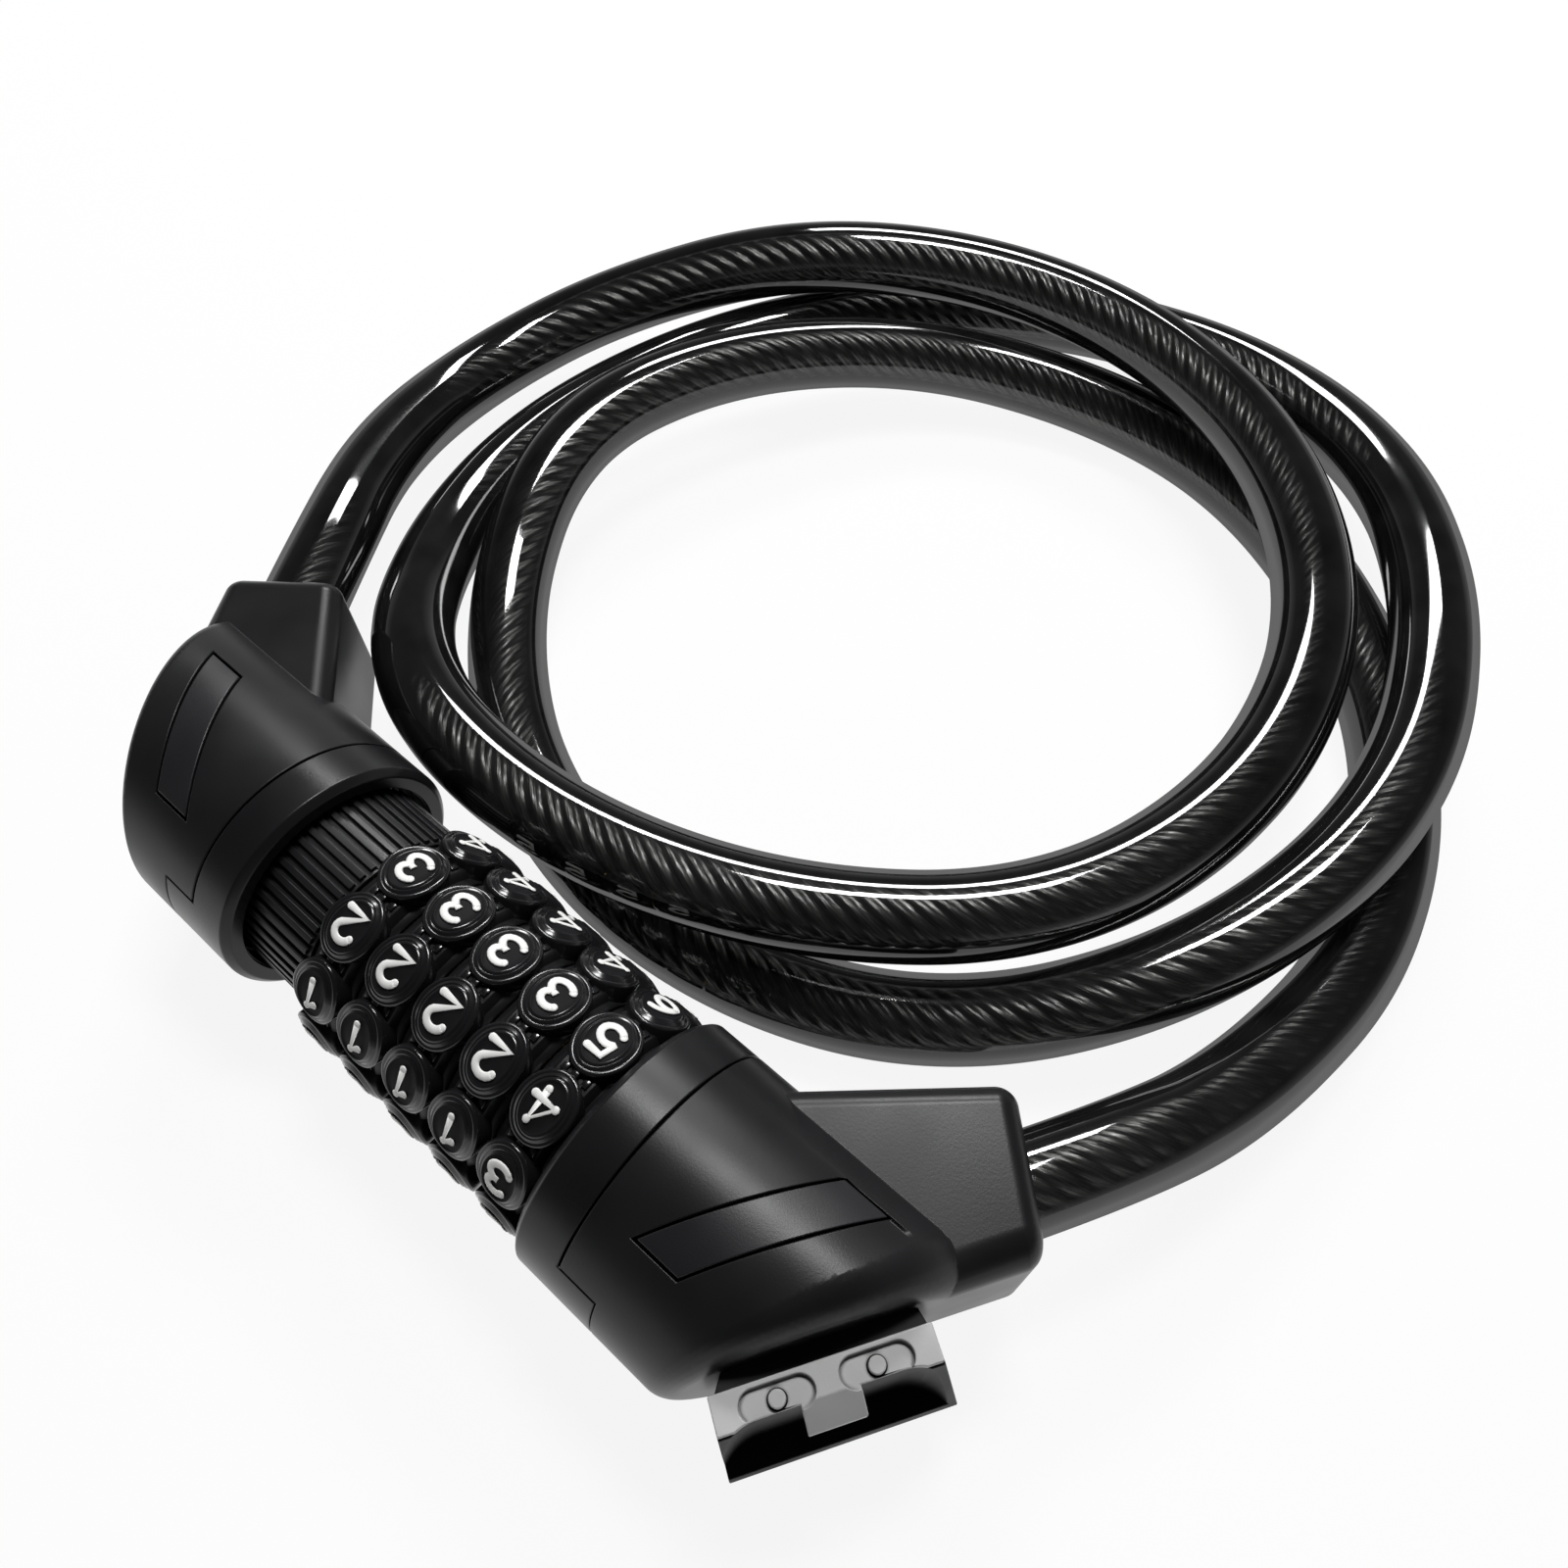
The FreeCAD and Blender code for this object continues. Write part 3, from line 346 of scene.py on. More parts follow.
def jacket_material(smoke):
    """Smoky clear jacket: only the middle of its width shows the rope, the rest is too thick to see through.

    Light reaches the rope through all of it.
    """
    material = bpy.data.materials.new("smoky_jacket")
    material.use_nodes = True
    tree = material.node_tree
    tree.nodes.remove(tree.nodes["Principled BSDF"])
    facing = add_node(tree, "ShaderNodeLayerWeight", Blend=0.5)
    ramp = tree.nodes.new("ShaderNodeValToRGB")
    ramp.color_ramp.interpolation = "EASE"
    lay_stops(ramp, [(position, shaded(smoke, amount)) for position, amount in JACKET_STOPS])
    tree.links.new(facing.outputs["Facing"], ramp.inputs["Fac"])
    path = tree.nodes.new("ShaderNodeLightPath")
    lit = tree.nodes.new("ShaderNodeMix")
    lit.data_type = "RGBA"
    tree.links.new(path.outputs["Is Shadow Ray"], lit.inputs["Factor"])
    tree.links.new(ramp.outputs["Color"], lit.inputs["A"])
    lit.inputs["B"].default_value = (*smoke, 1)
    clear = tree.nodes.new("ShaderNodeBsdfTransparent")
    tree.links.new(lit.outputs["Result"], clear.inputs["Color"])
    place = surface_coordinates(tree)
    mist = add_node(tree, "ShaderNodeTexNoise", Scale=1 / (7.0 * MM), Detail=2.0)
    tree.links.new(place, mist.inputs["Vector"])
    haze = tree.nodes.new("ShaderNodeBsdfDiffuse")
    tree.links.new(tint(tree, mist.outputs["Fac"], (0.004, 0.004, 0.004), (0.009, 0.009, 0.009)),
                   haze.inputs["Color"])
    body = tree.nodes.new("ShaderNodeAddShader")
    tree.links.new(clear.outputs["BSDF"], body.inputs[0])
    tree.links.new(haze.outputs["BSDF"], body.inputs[1])
    gloss = add_node(tree, "ShaderNodeBsdfGlossy", Color=(1, 1, 1, 1), Roughness=0.06)
    mirror = add_node(tree, "ShaderNodeFresnel", IOR=1.6)
    limit = spread(tree, mirror.outputs["Fac"], 0.0, JACKET_GLOSS, 0.0, JACKET_GLOSS)
    mix = tree.nodes.new("ShaderNodeMixShader")
    tree.links.new(limit, mix.inputs["Fac"])
    tree.links.new(body.outputs["Shader"], mix.inputs[1])
    tree.links.new(gloss.outputs["BSDF"], mix.inputs[2])
    tree.links.new(mix.outputs["Shader"], tree.nodes["Material Output"].inputs["Surface"])
    return material


def rope_material(base):
    """Bundles of fine wires: bright flecks drawn out along each strand."""
    material = bpy.data.materials.new("rope_wires")
    material.use_nodes = True
    tree = material.node_tree
    shader = tree.nodes["Principled BSDF"]
    place = surface_coordinates(tree, (1, 1, 0.10), "straight")
    wires = add_node(tree, "ShaderNodeTexNoise", Scale=1 / (0.34 * MM), Detail=2.0, Roughness=0.6)
    tree.links.new(place, wires.inputs["Vector"])
    flecks = tint(tree, wires.outputs["Fac"], shaded(base, 0.45), shaded(base, 1.5))
    tree.links.new(flecks, shader.inputs["Base Color"])
    tree.links.new(bump(tree, wires.outputs["Fac"], 0.10 * MM), shader.inputs["Normal"])
    shader.inputs["Metallic"].default_value = 0.9
    shader.inputs["Roughness"].default_value = 0.30
    return material


# Meshes

def new_piece(name, mesh, materials, body, stands_for=()):
    """Link a finished mesh, give it its materials and tie it to the body that carries it."""
    piece = bpy.data.objects.new(name, mesh)
    bpy.context.scene.collection.objects.link(piece)
    for material in materials:
        mesh.materials.append(material)
    if stands_for:
        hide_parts(*stands_for)
    if body:
        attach(piece, body)
    return piece


def finished(bm, name, sharp=40.0):
    """Make a mesh of a bmesh: doubles merged, faces outwards, smooth but for its sharp edges."""
    bmesh.ops.remove_doubles(bm, verts=bm.verts, dist=SAME_PLACE)
    bmesh.ops.recalc_face_normals(bm, faces=bm.faces)
    mesh = mesh_from(bm, name)
    mesh.shade_smooth()
    mesh.set_sharp_from_angle(angle=math.radians(sharp))
    return mesh


def mesh_from(bm, name):
    """Make a mesh of a bmesh, which is then dropped."""
    mesh = bpy.data.meshes.new(name)
    bm.to_mesh(mesh)
    bm.free()
    return mesh


def edges_among(bm, verts):
    """The edges whose two ends are both among the given vertices."""
    chosen = set(verts)
    return [edge for edge in bm.edges if edge.verts[0] in chosen and edge.verts[1] in chosen]


def soft_normals(mesh, radius):
    """Normals weighted by face area, and true ones where a vertex lies on the barrel's skin."""
    normals = [Vector() for vertex in mesh.vertices]
    for polygon in mesh.polygons:
        for number in polygon.vertices:
            normals[number] += polygon.normal * polygon.area
    for vertex, normal in zip(mesh.vertices, normals):
        normal.normalize()
        out = Vector((0.0, vertex.co.y - AXIS.y, vertex.co.z - AXIS.z))
        if abs(out.length - radius) < SKIN_DEPTH and normal.dot(out) > SKIN_LEAN * out.length:
            normal[:] = out.normalized()
    mesh.normals_split_custom_set_from_vertices(normals)


# how many times the rounding's width a face has to reach, and how far a facet may turn from a flat face
ROOM_NEEDED = 1.6
FLAT_ENOUGH = math.radians(0.3)


def has_room(edge, width):
    """Whether both faces beside an edge reach further from it than its rounding needs."""
    foot = edge.verts[0].co
    line = (edge.verts[1].co - foot).normalized()
    for face in edge.link_faces:
        offsets = [vert.co - foot for vert in face.verts]
        if max((offset - offset.dot(line) * line).length for offset in offsets) < ROOM_NEEDED * width:
            return False
    return True


def dressed(node, name, materials, body, edge, sharp=32.0):
    """A merged copy of a CAD node with its hard edges rounded."""
    bm = bmesh.new()
    bm.from_mesh(NODES[node].data)
    bmesh.ops.remove_doubles(bm, verts=bm.verts, dist=SAME_PLACE)
    bmesh.ops.dissolve_limit(bm, angle_limit=FLAT_ENOUGH, use_dissolve_boundaries=False,
                             verts=bm.verts, edges=bm.edges)
    hard = [part for part in bm.edges if part.calc_face_angle(0.0) > math.radians(sharp)
            and has_room(part, edge)]
    bmesh.ops.bevel(bm, geom=hard, offset=edge, offset_type="OFFSET", segments=2, profile=0.5,
                    affect="EDGES", clamp_overlap=False, material=-1)
    mesh = mesh_from(bm, name)
    mesh.shade_smooth()
    soft_normals(mesh, HEAD_RADIUS)
    return new_piece(name, mesh, materials, body, (node,))


# Stage

def stage_world():
    """White behind the object; to everything else a dark room with a pale line round the horizon."""
    world = bpy.data.worlds.new("cove")
    bpy.context.scene.world = world
    world.use_nodes = True
    tree = world.node_tree
    coordinates = tree.nodes.new("ShaderNodeTexCoord")
    heights = tree.nodes.new("ShaderNodeSeparateXYZ")
    tree.links.new(coordinates.outputs["Generated"], heights.inputs["Vector"])
    ramp = tree.nodes.new("ShaderNodeValToRGB")
    lay_stops(ramp, [(position, (amount, amount, amount)) for position, amount in ROOM_STOPS])
    tree.links.new(heights.outputs["Z"], ramp.inputs["Fac"])
    path = tree.nodes.new("ShaderNodeLightPath")
    white = add_node(tree, "ShaderNodeBackground", Color=(1, 1, 1, 1), Strength=1.0)
    mix = tree.nodes.new("ShaderNodeMixShader")
    tree.links.new(path.outputs["Is Camera Ray"], mix.inputs["Fac"])
    room = tree.nodes["Background"]
    tree.links.new(ramp.outputs["Color"], room.inputs["Color"])
    tree.links.new(room.outputs["Background"], mix.inputs[1])
    tree.links.new(white.outputs["Background"], mix.inputs[2])
    tree.links.new(mix.outputs["Shader"], tree.nodes["World Output"].inputs["Surface"])


def floor_material(base, glow):
    """Pale floor that the camera and mirrors see as white but for the shadow on it."""
    material = bpy.data.materials.new("floor")
    material.use_nodes = True
    tree = material.node_tree
    shader = tree.nodes["Principled BSDF"]
    shader.inputs["Base Color"].default_value = (*base, 1)
    shader.inputs["Roughness"].default_value = 0.9
    shader.inputs["Specular IOR Level"].default_value = 0.0
    white = add_node(tree, "ShaderNodeEmission", Color=(1, 1, 1, 1), Strength=1.0)
    path = tree.nodes.new("ShaderNodeLightPath")
    seen = tree.nodes.new("ShaderNodeMath")
    seen.operation = "MAXIMUM"
    tree.links.new(path.outputs["Is Camera Ray"], seen.inputs[0])
    tree.links.new(path.outputs["Is Glossy Ray"], seen.inputs[1])
    through = tree.nodes.new("ShaderNodeMath")
    through.operation = "MAXIMUM"
    tree.links.new(seen.outputs["Value"], through.inputs[0])
    tree.links.new(path.outputs["Is Transmission Ray"], through.inputs[1])
    weight = tree.nodes.new("ShaderNodeMath")
    weight.operation = "MULTIPLY"
    weight.inputs[1].default_value = glow
    tree.links.new(through.outputs["Value"], weight.inputs[0])
    mix = tree.nodes.new("ShaderNodeMixShader")
    tree.links.new(weight.outputs["Value"], mix.inputs["Fac"])
    tree.links.new(shader.outputs["BSDF"], mix.inputs[1])
    tree.links.new(white.outputs["Emission"], mix.inputs[2])
    tree.links.new(mix.outputs["Shader"], tree.nodes["Material Output"].inputs["Surface"])
    return material


def soft_box(name, place, target, width, depth, energy):
    """A rectangular lamp that faces its target."""
    lamp = bpy.data.lights.new(name, "AREA")
    lamp.shape = "RECTANGLE"
    lamp.size = width
    lamp.size_y = depth
    lamp.energy = energy
    holder = bpy.data.objects.new(name, lamp)
    bpy.context.scene.collection.objects.link(holder)
    toward = Vector(target) - Vector(place)
    back = -toward.normalized()
    side = (BOX_ACROSS - BOX_ACROSS.dot(back) * back).normalized()
    turn = Matrix((side, back.cross(side), back)).transposed()
    holder.matrix_world = Matrix.Translation(place) @ turn.to_4x4()


class LOCK_OT_stage(bpy.types.Operator):
    """Add the camera, the lamps, the world and the floor"""
    bl_idname = "cable_lock.stage"
    bl_label = "Stage"

    def execute(self, context):
        settings = context.scene.lock_stage
        context.scene.view_settings.view_transform = "Standard"
        camera = bpy.data.cameras.new("camera")
        camera.lens = settings.lens
        camera.sensor_width = 36.0
        camera.clip_start = 2 * MM
        holder = bpy.data.objects.new("camera", camera)
        holder.location = settings.camera_place
        holder.rotation_euler = (settings.camera_tilt, 0.0, settings.camera_turn)
        context.scene.collection.objects.link(holder)
        context.scene.camera = holder
        stage_world()
        soft_box("near_box", *NEAR_BOX, settings.near_lamp)
        soft_box("far_box", *FAR_BOX, settings.far_lamp)
        bm = bmesh.new()
        bmesh.ops.create_grid(bm, x_segments=1, y_segments=1, size=settings.floor_size / 2)
        mesh = mesh_from(bm, "floor")
        mesh.materials.append(floor_material(settings.floor_colour, settings.floor_glow))
        floor = bpy.data.objects.new("floor", mesh)
        context.scene.collection.objects.link(floor)
        return {"FINISHED"}


# Cable

def route_curve(steps):
    """The cable's line: a NURBS spline with the route's corners as its control points."""
    curve = bpy.data.curves.new("cable_line", "CURVE")
    curve.dimensions = "3D"
    spline = curve.splines.new("NURBS")
    spline.points.add(len(ROUTE) - 1)
    for point, corner in zip(spline.points, ROUTE):
        point.co = (*[value * MM for value in corner], 1)
    spline.order_u = 3
    spline.use_endpoint_u = True
    spline.resolution_u = steps
    curve.resolution_u = steps
    return curve


def mesh_of(curve):
    """The mesh that a curve makes; the curve itself is dropped."""
    holder = bpy.data.objects.new(curve.name, curve)
    bpy.context.scene.collection.objects.link(holder)
    bpy.context.view_layer.update()
    depsgraph = bpy.context.evaluated_depsgraph_get()
    mesh = bpy.data.meshes.new_from_object(holder.evaluated_get(depsgraph))
    bpy.data.objects.remove(holder)
    return mesh


def distances(places):
    """How far along the line each point is."""
    covered = [0.0]
    for before, after in zip(places, places[1:]):
        covered.append(covered[-1] + (after - before).length)
    return covered


def closed_ends(mesh):
    """Cap a tube's two ends, faces outwards."""
    bm = bmesh.new()
    bm.from_mesh(mesh)
    bmesh.ops.holes_fill(bm, edges=[edge for edge in bm.edges if edge.is_boundary], sides=0)
    bmesh.ops.recalc_face_normals(bm, faces=bm.faces)
    bm.to_mesh(mesh)
    bm.free()
    mesh.shade_smooth()
    mesh.set_sharp_from_angle(angle=math.radians(70))


def bent_by_plug(piece, along):
    """Apply the piece's own transform to its mesh while each point stands at its distance along the cable,
    then put every point back where it was.
    """
    mesh = piece.data
    places = [0.0] * (3 * len(mesh.vertices))
    mesh.vertices.foreach_get("co", places)
    lined = []
    for distance in along:
        lined += (distance, 0.0, 0.0)
    mesh.vertices.foreach_set("co", lined)
    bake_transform(piece)
    mesh.vertices.foreach_set("co", places)
    mesh.update()


def strand_profile(settings):
    """Cross-section of the rope: a ring of strands."""
    curve = bpy.data.curves.new("strand_ring", "CURVE")
    curve.dimensions = "2D"
    spline = curve.splines.new("POLY")
    places = []
    for strand in range(settings.strands):
        middle = 2 * math.pi * strand / settings.strands
        for turn in range(-66, 67, 22):
            out = middle + math.radians(turn)
            places.append((settings.lobe_circle * math.cos(middle) + settings.lobe_radius * math.cos(out),
                           settings.lobe_circle * math.sin(middle) + settings.lobe_radius * math.sin(out)))
    spline.points.add(len(places) - 1)
    for point, place in zip(spline.points, places):
        point.co = (*place, 0, 1)
    spline.use_cyclic_u = True
    return curve, places


class LOCK_OT_cable(bpy.types.Operator):
    """Add the jacket and the twisted rope inside it"""
    bl_idname = "cable_lock.cable"
    bl_label = "Cable"

    def execute(self, context):
        settings = context.scene.lock_cable
        line = mesh_of(route_curve(settings.steps))
        places = [vertex.co.copy() for vertex in line.vertices]
        covered = distances(places)

        tube = route_curve(settings.steps)
        tube.bevel_depth = settings.jacket_radius
        tube.bevel_resolution = 10
        mesh = mesh_of(tube)
        around = len(mesh.vertices) // len(places)
        along = [covered[number // around] for number in range(len(mesh.vertices))]
        closed_ends(mesh)
        mesh.name = "jacket"
        jacket = new_piece("jacket", mesh, [jacket_material(settings.smoke)], None,
                           ("cable_jacket",))
        bent_by_plug(jacket, along)

        first = (places[0] - places[1]).normalized()
        last = (places[-1] - places[-2]).normalized()
        rope_places = [places[0] + first * settings.into_ferrule] + places
        rope_places.append(places[-1] + last * settings.into_ferrule)
        rope_covered = distances(rope_places)
        profile, ring = strand_profile(settings)
        profile_holder = bpy.data.objects.new("strand_ring", profile)
        context.scene.collection.objects.link(profile_holder)
        curve = bpy.data.curves.new("rope_line", "CURVE")
        curve.dimensions = "3D"
        spline = curve.splines.new("POLY")
        spline.points.add(len(rope_places) - 1)
        for point, place, distance in zip(spline.points, rope_places, rope_covered):
            point.co = (*place, 1)
            point.tilt = 2 * math.pi * distance / settings.lay
        curve.bevel_mode = "OBJECT"
        curve.bevel_object = profile_holder
        mesh = mesh_of(curve)
        bpy.data.objects.remove(profile_holder)
        along = [rope_covered[number // len(ring)] for number in range(len(mesh.vertices))]
        straight = mesh.attributes.new("straight", "FLOAT_VECTOR", "POINT")
        values = []
        for number, distance in enumerate(along):
            values += (*ring[number % len(ring)], distance)
        straight.data.foreach_set("vector", values)
        closed_ends(mesh)
        mesh.name = "rope"
        rope = new_piece("rope", mesh, [rope_material(settings.wire_colour)], None, ("cable_rope",))
        bent_by_plug(rope, along)

        return {"FINISHED"}


# Dials

def arc(x, y, wide, high, start, end):
    """Points of an elliptic arc in a number's own square, angles in degrees."""
    steps = max(6, int(abs(end - start) / 18))
    turns = [math.radians(start + (end - start) * step / steps) for step in range(steps + 1)]
    return [(x + wide * math.cos(turn), y + high * math.sin(turn)) for turn in turns]


# strokes of the numbers in a square of side 1 about its middle
STROKES = {
    0: [arc(0, 0, 0.29, 0.5, 90, 450)],
    1: [[(-0.2, 0.27), (0.04, 0.5), (0.04, -0.5)]],
    2: [arc(0, 0.21, 0.27, 0.29, 165, -38) + [(-0.28, -0.5), (0.3, -0.5)]],
    3: [arc(-0.01, 0.25, 0.25, 0.25, 150, -80) + arc(-0.01, -0.23, 0.29, 0.27, 80, -150)],
    4: [[(0.13, -0.5), (0.13, 0.5), (-0.3, -0.2), (0.33, -0.2)]],
    5: [[(0.24, 0.5), (-0.18, 0.5), (-0.24, 0.06)] + arc(0.0, -0.18, 0.28, 0.32, 135, -145)],
    6: [arc(0, -0.2, 0.28, 0.3, 180, 540), arc(0.22, -0.2, 0.5, 0.69, 180, 98)],
    7: [[(-0.28, 0.5), (0.28, 0.5), (-0.08, -0.5)]],
    8: [arc(0, 0.26, 0.23, 0.24, 90, 450), arc(0, -0.25, 0.28, 0.26, 90, 450)],
    9: [arc(0, 0.2, 0.28, 0.3, 0, 360), arc(-0.22, 0.2, 0.5, 0.69, 0, -82)],
}


def number_mesh(number, settings):
    """One number as round-ended strokes, flattened, about its own middle."""
    curve = bpy.data.curves.new("number", "CURVE")
    curve.dimensions = "3D"
    curve.bevel_depth = settings.stroke / 2
    curve.bevel_resolution = 2
    size_x = settings.digit_width - settings.stroke
    size_y = settings.digit_height - settings.stroke
    ends = []
    for stroke in STROKES[number]:
        spline = curve.splines.new("POLY")
        spline.points.add(len(stroke) - 1)
        for point, (x, y) in zip(spline.points, stroke):
            point.co = (x * size_x, y * size_y, 0, 1)
        ends += [stroke[0], stroke[-1]] + (stroke if len(stroke) < 5 else [])
    mesh = mesh_of(curve)
    bm = bmesh.new()
    bm.from_mesh(mesh)
    bpy.data.meshes.remove(mesh)
    bmesh.ops.holes_fill(bm, edges=[edge for edge in bm.edges if edge.is_boundary], sides=0)
    for x, y in set(ends):
        bmesh.ops.create_icosphere(bm, subdivisions=2, radius=settings.stroke / 2,
                                   matrix=Matrix.Translation((x * size_x, y * size_y, 0)))
    bmesh.ops.scale(bm, vec=(1, 1, settings.relief), verts=bm.verts)
    return mesh_from(bm, "number")


def wrap(verts, radius, turn, x):
    """Lay flat geometry (across, round, out) on the barrel at an angle from +Y over the top."""
    for vert in verts:
        at = turn + vert.co.y / radius
        out = vert.co.z
        vert.co = (x + vert.co.x, AXIS.y + out * math.cos(at), AXIS.z + out * math.sin(at))


def oval_pad(bm, settings):
    """Oval pad: ripples that rise inwards round a sunk matt face."""
    top = settings.face_radius
    steps = [(0.0, settings.body_radius - PAD_FOOT)]
    steps += [(inset * MM, top - below * MM) for inset, below in PAD_RIPPLES]
    wide, long = settings.pad_half_width, settings.pad_half_length
    verts = bmesh.ops.create_circle(bm, cap_ends=True, segments=48, radius=1.0)["verts"]
    bmesh.ops.scale(bm, vec=(wide, long, 1), verts=verts)
    bmesh.ops.translate(bm, vec=(0, 0, steps[0][1]), verts=verts)
    edges = edges_among(bm, verts)
    for (before, low), (inset, high) in zip(steps, steps[1:]):
        grown = bmesh.ops.extrude_edge_only(bm, edges=edges)["geom"]
        verts = [part for part in grown if isinstance(part, bmesh.types.BMVert)]
        ring = set(verts)
        edges = [part for part in grown if isinstance(part, bmesh.types.BMEdge)
                 and part.verts[0] in ring and part.verts[1] in ring]
        inwards = ((wide - inset) / (wide - before), (long - inset) / (long - before), 1)
        bmesh.ops.scale(bm, vec=inwards, verts=verts)
        bmesh.ops.translate(bm, vec=(0, 0, high - low), verts=verts)
        for part in grown:
            if isinstance(part, bmesh.types.BMFace) and inset > MATT_FROM:
                part.material_index = 1
    for part in bmesh.ops.contextual_create(bm, geom=edges)["faces"]:
        part.material_index = 1


def waist_bosses(bm, settings):
    """Small square boss between two pads with a low block on each side of it."""
    for x, wide, long, high in BOSSES:
        block = bmesh.ops.create_cube(bm, size=1.0)["verts"]
        middle = settings.body_radius + (high - BOSS_SINK) / 2 * MM
        bmesh.ops.scale(bm, vec=(wide * MM, long * MM, (high + BOSS_SINK) * MM), verts=block)
        bmesh.ops.translate(bm, vec=(x * MM, 0, middle), verts=block)
        bmesh.ops.bevel(bm, geom=edges_among(bm, block), offset=BOSS_EDGE, offset_type="OFFSET", segments=2,
                        profile=0.5, affect="EDGES", material=-1)


def dial_body(bm, settings, x):
    """Turned ring of a dial: a raised middle that slopes down to low rims, and a snug wall inside."""
    half = settings.width / 2
    rise = settings.waist / 2
    soft = settings.chamfer * 0.3
    rim = settings.body_radius - settings.shoulder
    profile = [(-half, settings.bore), (-half, rim - soft), (-half + soft, rim),
               (-rise - settings.chamfer, rim + soft), (-rise - soft, settings.body_radius - soft),
               (-rise, settings.body_radius), (rise, settings.body_radius),
               (rise + soft, settings.body_radius - soft), (rise + settings.chamfer, rim + soft),
               (half - soft, rim), (half, rim - soft), (half, settings.bore),
               (settings.flange_start, settings.bore), (settings.flange_start, settings.snug_bore),
               (-settings.flange_start, settings.snug_bore), (-settings.flange_start, settings.bore)]
    verts = [bm.verts.new((x + along, AXIS.y, AXIS.z + radius)) for along, radius in profile]
    edges = [bm.edges.new((verts[number - 1], verts[number])) for number in range(len(verts))]
    bmesh.ops.spin(bm, geom=verts + edges, cent=(x, AXIS.y, AXIS.z), axis=(1, 0, 0), dvec=(0, 0, 0),
                   angle=2 * math.pi, steps=96, use_merge=True, use_duplicate=False)


def shown_digit(dial, pad):
    """The number on a pad, counted from the open code's pad."""
    return (OPEN_CODE[dial] - pad) % PADS


class LOCK_OT_dials(bpy.types.Operator):
    """Add the five number dials"""
    bl_idname = "cable_lock.dials"
    bl_label = "Dials"

    def execute(self, context):
        settings = context.scene.lock_dials
        body_finish = finish_material("dial_satin", settings.dial_colour, 0.34, grain=0.35 * MM,
                                      depth=0.006 * MM, specular=0.3)
        pad_finish = finish_material("pad_gloss", settings.dial_colour, 0.18, grain=0.5 * MM,
                                     depth=0.004 * MM, rough_swing=0.04)
        face_finish = finish_material("pad_matt", settings.dial_colour, 0.55, grain=0.3 * MM,
                                      depth=0.008 * MM, specular=0.06)
        number_finish = finish_material("number_white", settings.number_colour, 0.42, grain=0.2 * MM,
                                        depth=0.006 * MM, shade_swing=0.03)
        glyphs = [number_mesh(number, settings) for number in range(10)]
        step = 2 * math.pi / PADS
        for dial in DIALS:
            x = DIAL_X[dial]
            body = "dial_%d" % dial
            node = "dial_ring_%d" % dial
            bm = bmesh.new()
            dial_body(bm, settings, x)
            new_piece(body + "_ring", finished(bm, body + "_ring", 30), [body_finish], body, (node,))

            bm = bmesh.new()
            oval_pad(bm, settings)
            wrap(bm.verts, settings.face_radius, settings.code_angle, x)
            pad_verts = set(bm.verts)
            waist_bosses(bm, settings)
            boss_verts = [vert for vert in bm.verts if vert not in pad_verts]
            wrap(boss_verts, settings.body_radius, settings.code_angle + step / 2, x)
            bmesh.ops.spin(bm, geom=bm.verts[:] + bm.edges[:] + bm.faces[:], cent=(x, AXIS.y, AXIS.z),
                           axis=(1, 0, 0), dvec=(0, 0, 0), angle=step * (PADS - 1), steps=PADS - 1,
                           use_merge=False, use_duplicate=True)
            pads = finished(bm, body + "_pads", 50)
            new_piece(body + "_pads", pads, [pad_finish, face_finish], body, (node,))

            bm = bmesh.new()
            for pad in range(PADS):
                start = len(bm.verts)
                bm.from_mesh(glyphs[shown_digit(dial, pad)])
                bm.verts.ensure_lookup_table()
                fresh = bm.verts[start:]
                for vert in fresh:
                    vert.co = (-vert.co.x, vert.co.y, vert.co.z + settings.face_radius + NUMBER_LIFT)
                wrap(fresh, settings.face_radius, settings.code_angle + step * pad, x)
            bmesh.ops.recalc_face_normals(bm, faces=bm.faces)
            mesh = mesh_from(bm, body + "_numbers")
            mesh.shade_smooth()
            new_piece(body + "_numbers", mesh, [number_finish], body)
        for glyph in glyphs:
            bpy.data.meshes.remove(glyph)
        return {"FINISHED"}


# Heads, collar and bracket

class LOCK_OT_heads(bpy.types.Operator):
    """Dress the shells, bands and inlay plates of both heads"""
    bl_idname = "cable_lock.heads"
    bl_label = "Heads"

    def execute(self, context):
        settings = context.scene.lock_heads
        shell = finish_material("shell_satin", settings.shell_colour, 0.34, grain=0.3 * MM, depth=0.008 * MM,
                                rough_swing=0.04, specular=0.22)
        band = finish_material("band_satin", settings.band_colour, 0.30, grain=0.3 * MM, depth=0.008 * MM,
                               rough_swing=0.04, specular=0.26)
        inlay = finish_material("inlay_satin", settings.inlay_colour, 0.38, grain=0.22 * MM,
                                depth=0.012 * MM, specular=0.35)
        for head in ("main", "plug"):
            for kind, finish in (("shell", shell), ("band", band), ("inlay", inlay)):
                dressed(head + "_" + kind, head + "_head_" + kind, [finish], head, settings.edge)
        return {"FINISHED"}


class LOCK_OT_collar(bpy.types.Operator):
    """Dress the ribbed reset collar"""
    bl_idname = "cable_lock.collar"
    bl_label = "Reset collar"

    def execute(self, context):
        settings = context.scene.lock_heads
        ribbed = finish_material("collar_satin", settings.collar_colour, 0.34, grain=0.3 * MM,
                                 depth=0.008 * MM, specular=0.3)
        dressed("reset_collar", "ribbed_collar", [ribbed], "collar", settings.collar_edge)
        return {"FINISHED"}


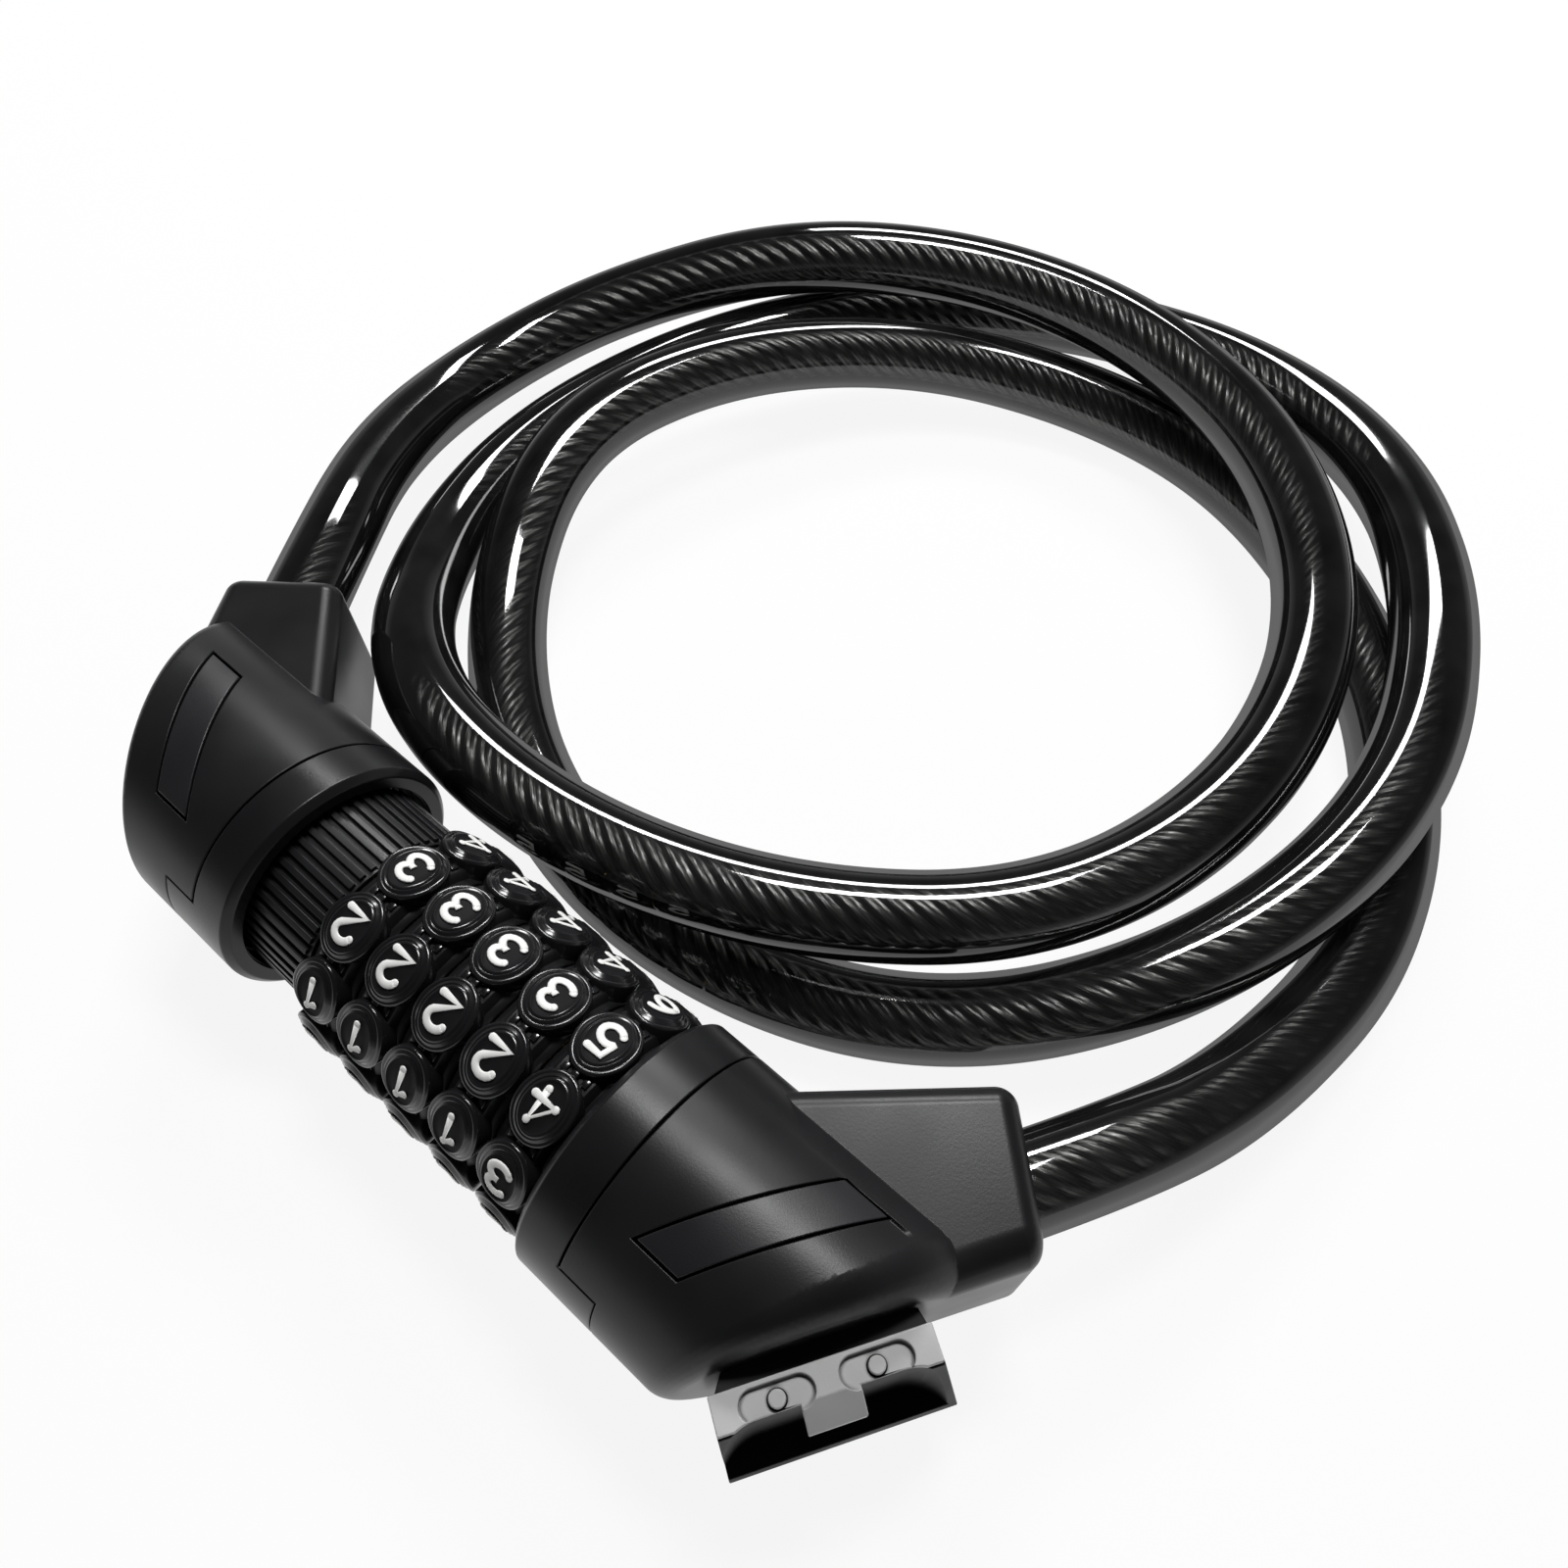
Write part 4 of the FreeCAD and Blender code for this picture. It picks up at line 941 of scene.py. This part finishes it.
class LOCK_OT_bracket(bpy.types.Operator):
    """Dress the bracket shoe, its plate and its pegs"""
    bl_idname = "cable_lock.bracket"
    bl_label = "Bracket shoe"

    def execute(self, context):
        settings = context.scene.lock_bracket
        shoe = finish_material("shoe_satin", settings.shoe_colour, 0.50, grain=0.4 * MM, depth=0.008 * MM,
                               specular=0.10)
        plate = finish_material("plate_grey_painted_shade", settings.plate_colour, 0.36, grain=0.25 * MM, depth=0.008 * MM)
        # paints shade into the creases and narrow gaps of the plate and the pegs
        with_painted_crease_shade(plate, settings.crease)
        dressed("bracket_shoe", "shoe", [shoe], "main", settings.edge)
        dressed("bracket_plate", "shoe_plate", [plate], "main", settings.edge)
        dressed("bracket_pegs", "shoe_pegs", [plate], "main", settings.edge)
        return {"FINISHED"}


class LOCK_OT_works(bpy.types.Operator):
    """Give the pieces inside their metals"""
    bl_idname = "cable_lock.works"
    bl_label = "Works"

    def execute(self, context):
        settings = context.scene.lock_works
        finishes = {
            "zinc": finish_material("cast_zinc", settings.zinc, 0.46, 1.0, grain=0.35 * MM, depth=0.03 * MM),
            "alloy": finish_material("ferrule_alloy", settings.alloy, 0.34, 1.0, grain=0.15 * MM),
            "steel": finish_material("turned_steel", settings.steel, 0.28, 1.0, grain=0.12 * MM,
                                     stretch=(1, 0.08, 0.08), depth=0.006 * MM),
            "spring_steel": finish_material("spring_steel", settings.spring_steel, 0.24, 1.0, grain=0.2 * MM,
                                            stretch=(0.1, 1, 1), depth=0.005 * MM),
            "brass": finish_material("turned_brass", settings.brass, 0.30, 1.0, grain=0.12 * MM,
                                     stretch=(1, 0.08, 0.08), depth=0.006 * MM),
        }
        for subpart in frame["record"]["subparts"]:
            finish = finishes.get(subpart["material_slot"])
            if finish:
                node = NODES[subpart["node"]]
                node.data.materials.clear()
                node.data.materials.append(finish)
        return {"FINISHED"}


class LOCK_PT_sizes(bpy.types.Panel):
    """Sizes, colours and steps of the cable lock"""
    bl_idname = "LOCK_PT_sizes"
    bl_label = "Cable Lock"
    bl_space_type = "VIEW_3D"
    bl_region_type = "UI"
    bl_category = "Cable Lock"

    def draw(self, context):
        for step, group in STEPS:
            box = self.layout.box()
            box.operator(step.bl_idname)
            settings = getattr(context.scene, group)
            for name in settings.__annotations__:
                box.prop(settings, name)


GROUPS = {"lock_stage": StageSettings, "lock_cable": CableSettings, "lock_dials": DialSettings,
          "lock_heads": HeadSettings, "lock_bracket": BracketSettings, "lock_works": WorksSettings}
STEPS = ((LOCK_OT_stage, "lock_stage"), (LOCK_OT_cable, "lock_cable"), (LOCK_OT_dials, "lock_dials"),
         (LOCK_OT_heads, "lock_heads"), (LOCK_OT_collar, "lock_heads"), (LOCK_OT_bracket, "lock_bracket"),
         (LOCK_OT_works, "lock_works"))


def register():
    """Add the settings, the operators and the panel."""
    for group in GROUPS.values():
        bpy.utils.register_class(group)
    for name, group in GROUPS.items():
        setattr(bpy.types.Scene, name, PointerProperty(type=group))
    for step, group in STEPS:
        bpy.utils.register_class(step)
    bpy.utils.register_class(LOCK_PT_sizes)


def unregister():
    """Take them out again."""
    bpy.utils.unregister_class(LOCK_PT_sizes)
    for step, group in STEPS:
        bpy.utils.unregister_class(step)
    for name, group in GROUPS.items():
        delattr(bpy.types.Scene, name)
        bpy.utils.unregister_class(group)


def main():
    """Run every step in order."""
    register()
    for step, group in STEPS:
        family, name = step.bl_idname.split(".")
        getattr(getattr(bpy.ops, family), name)()


if __name__ == "__main__":
    main()
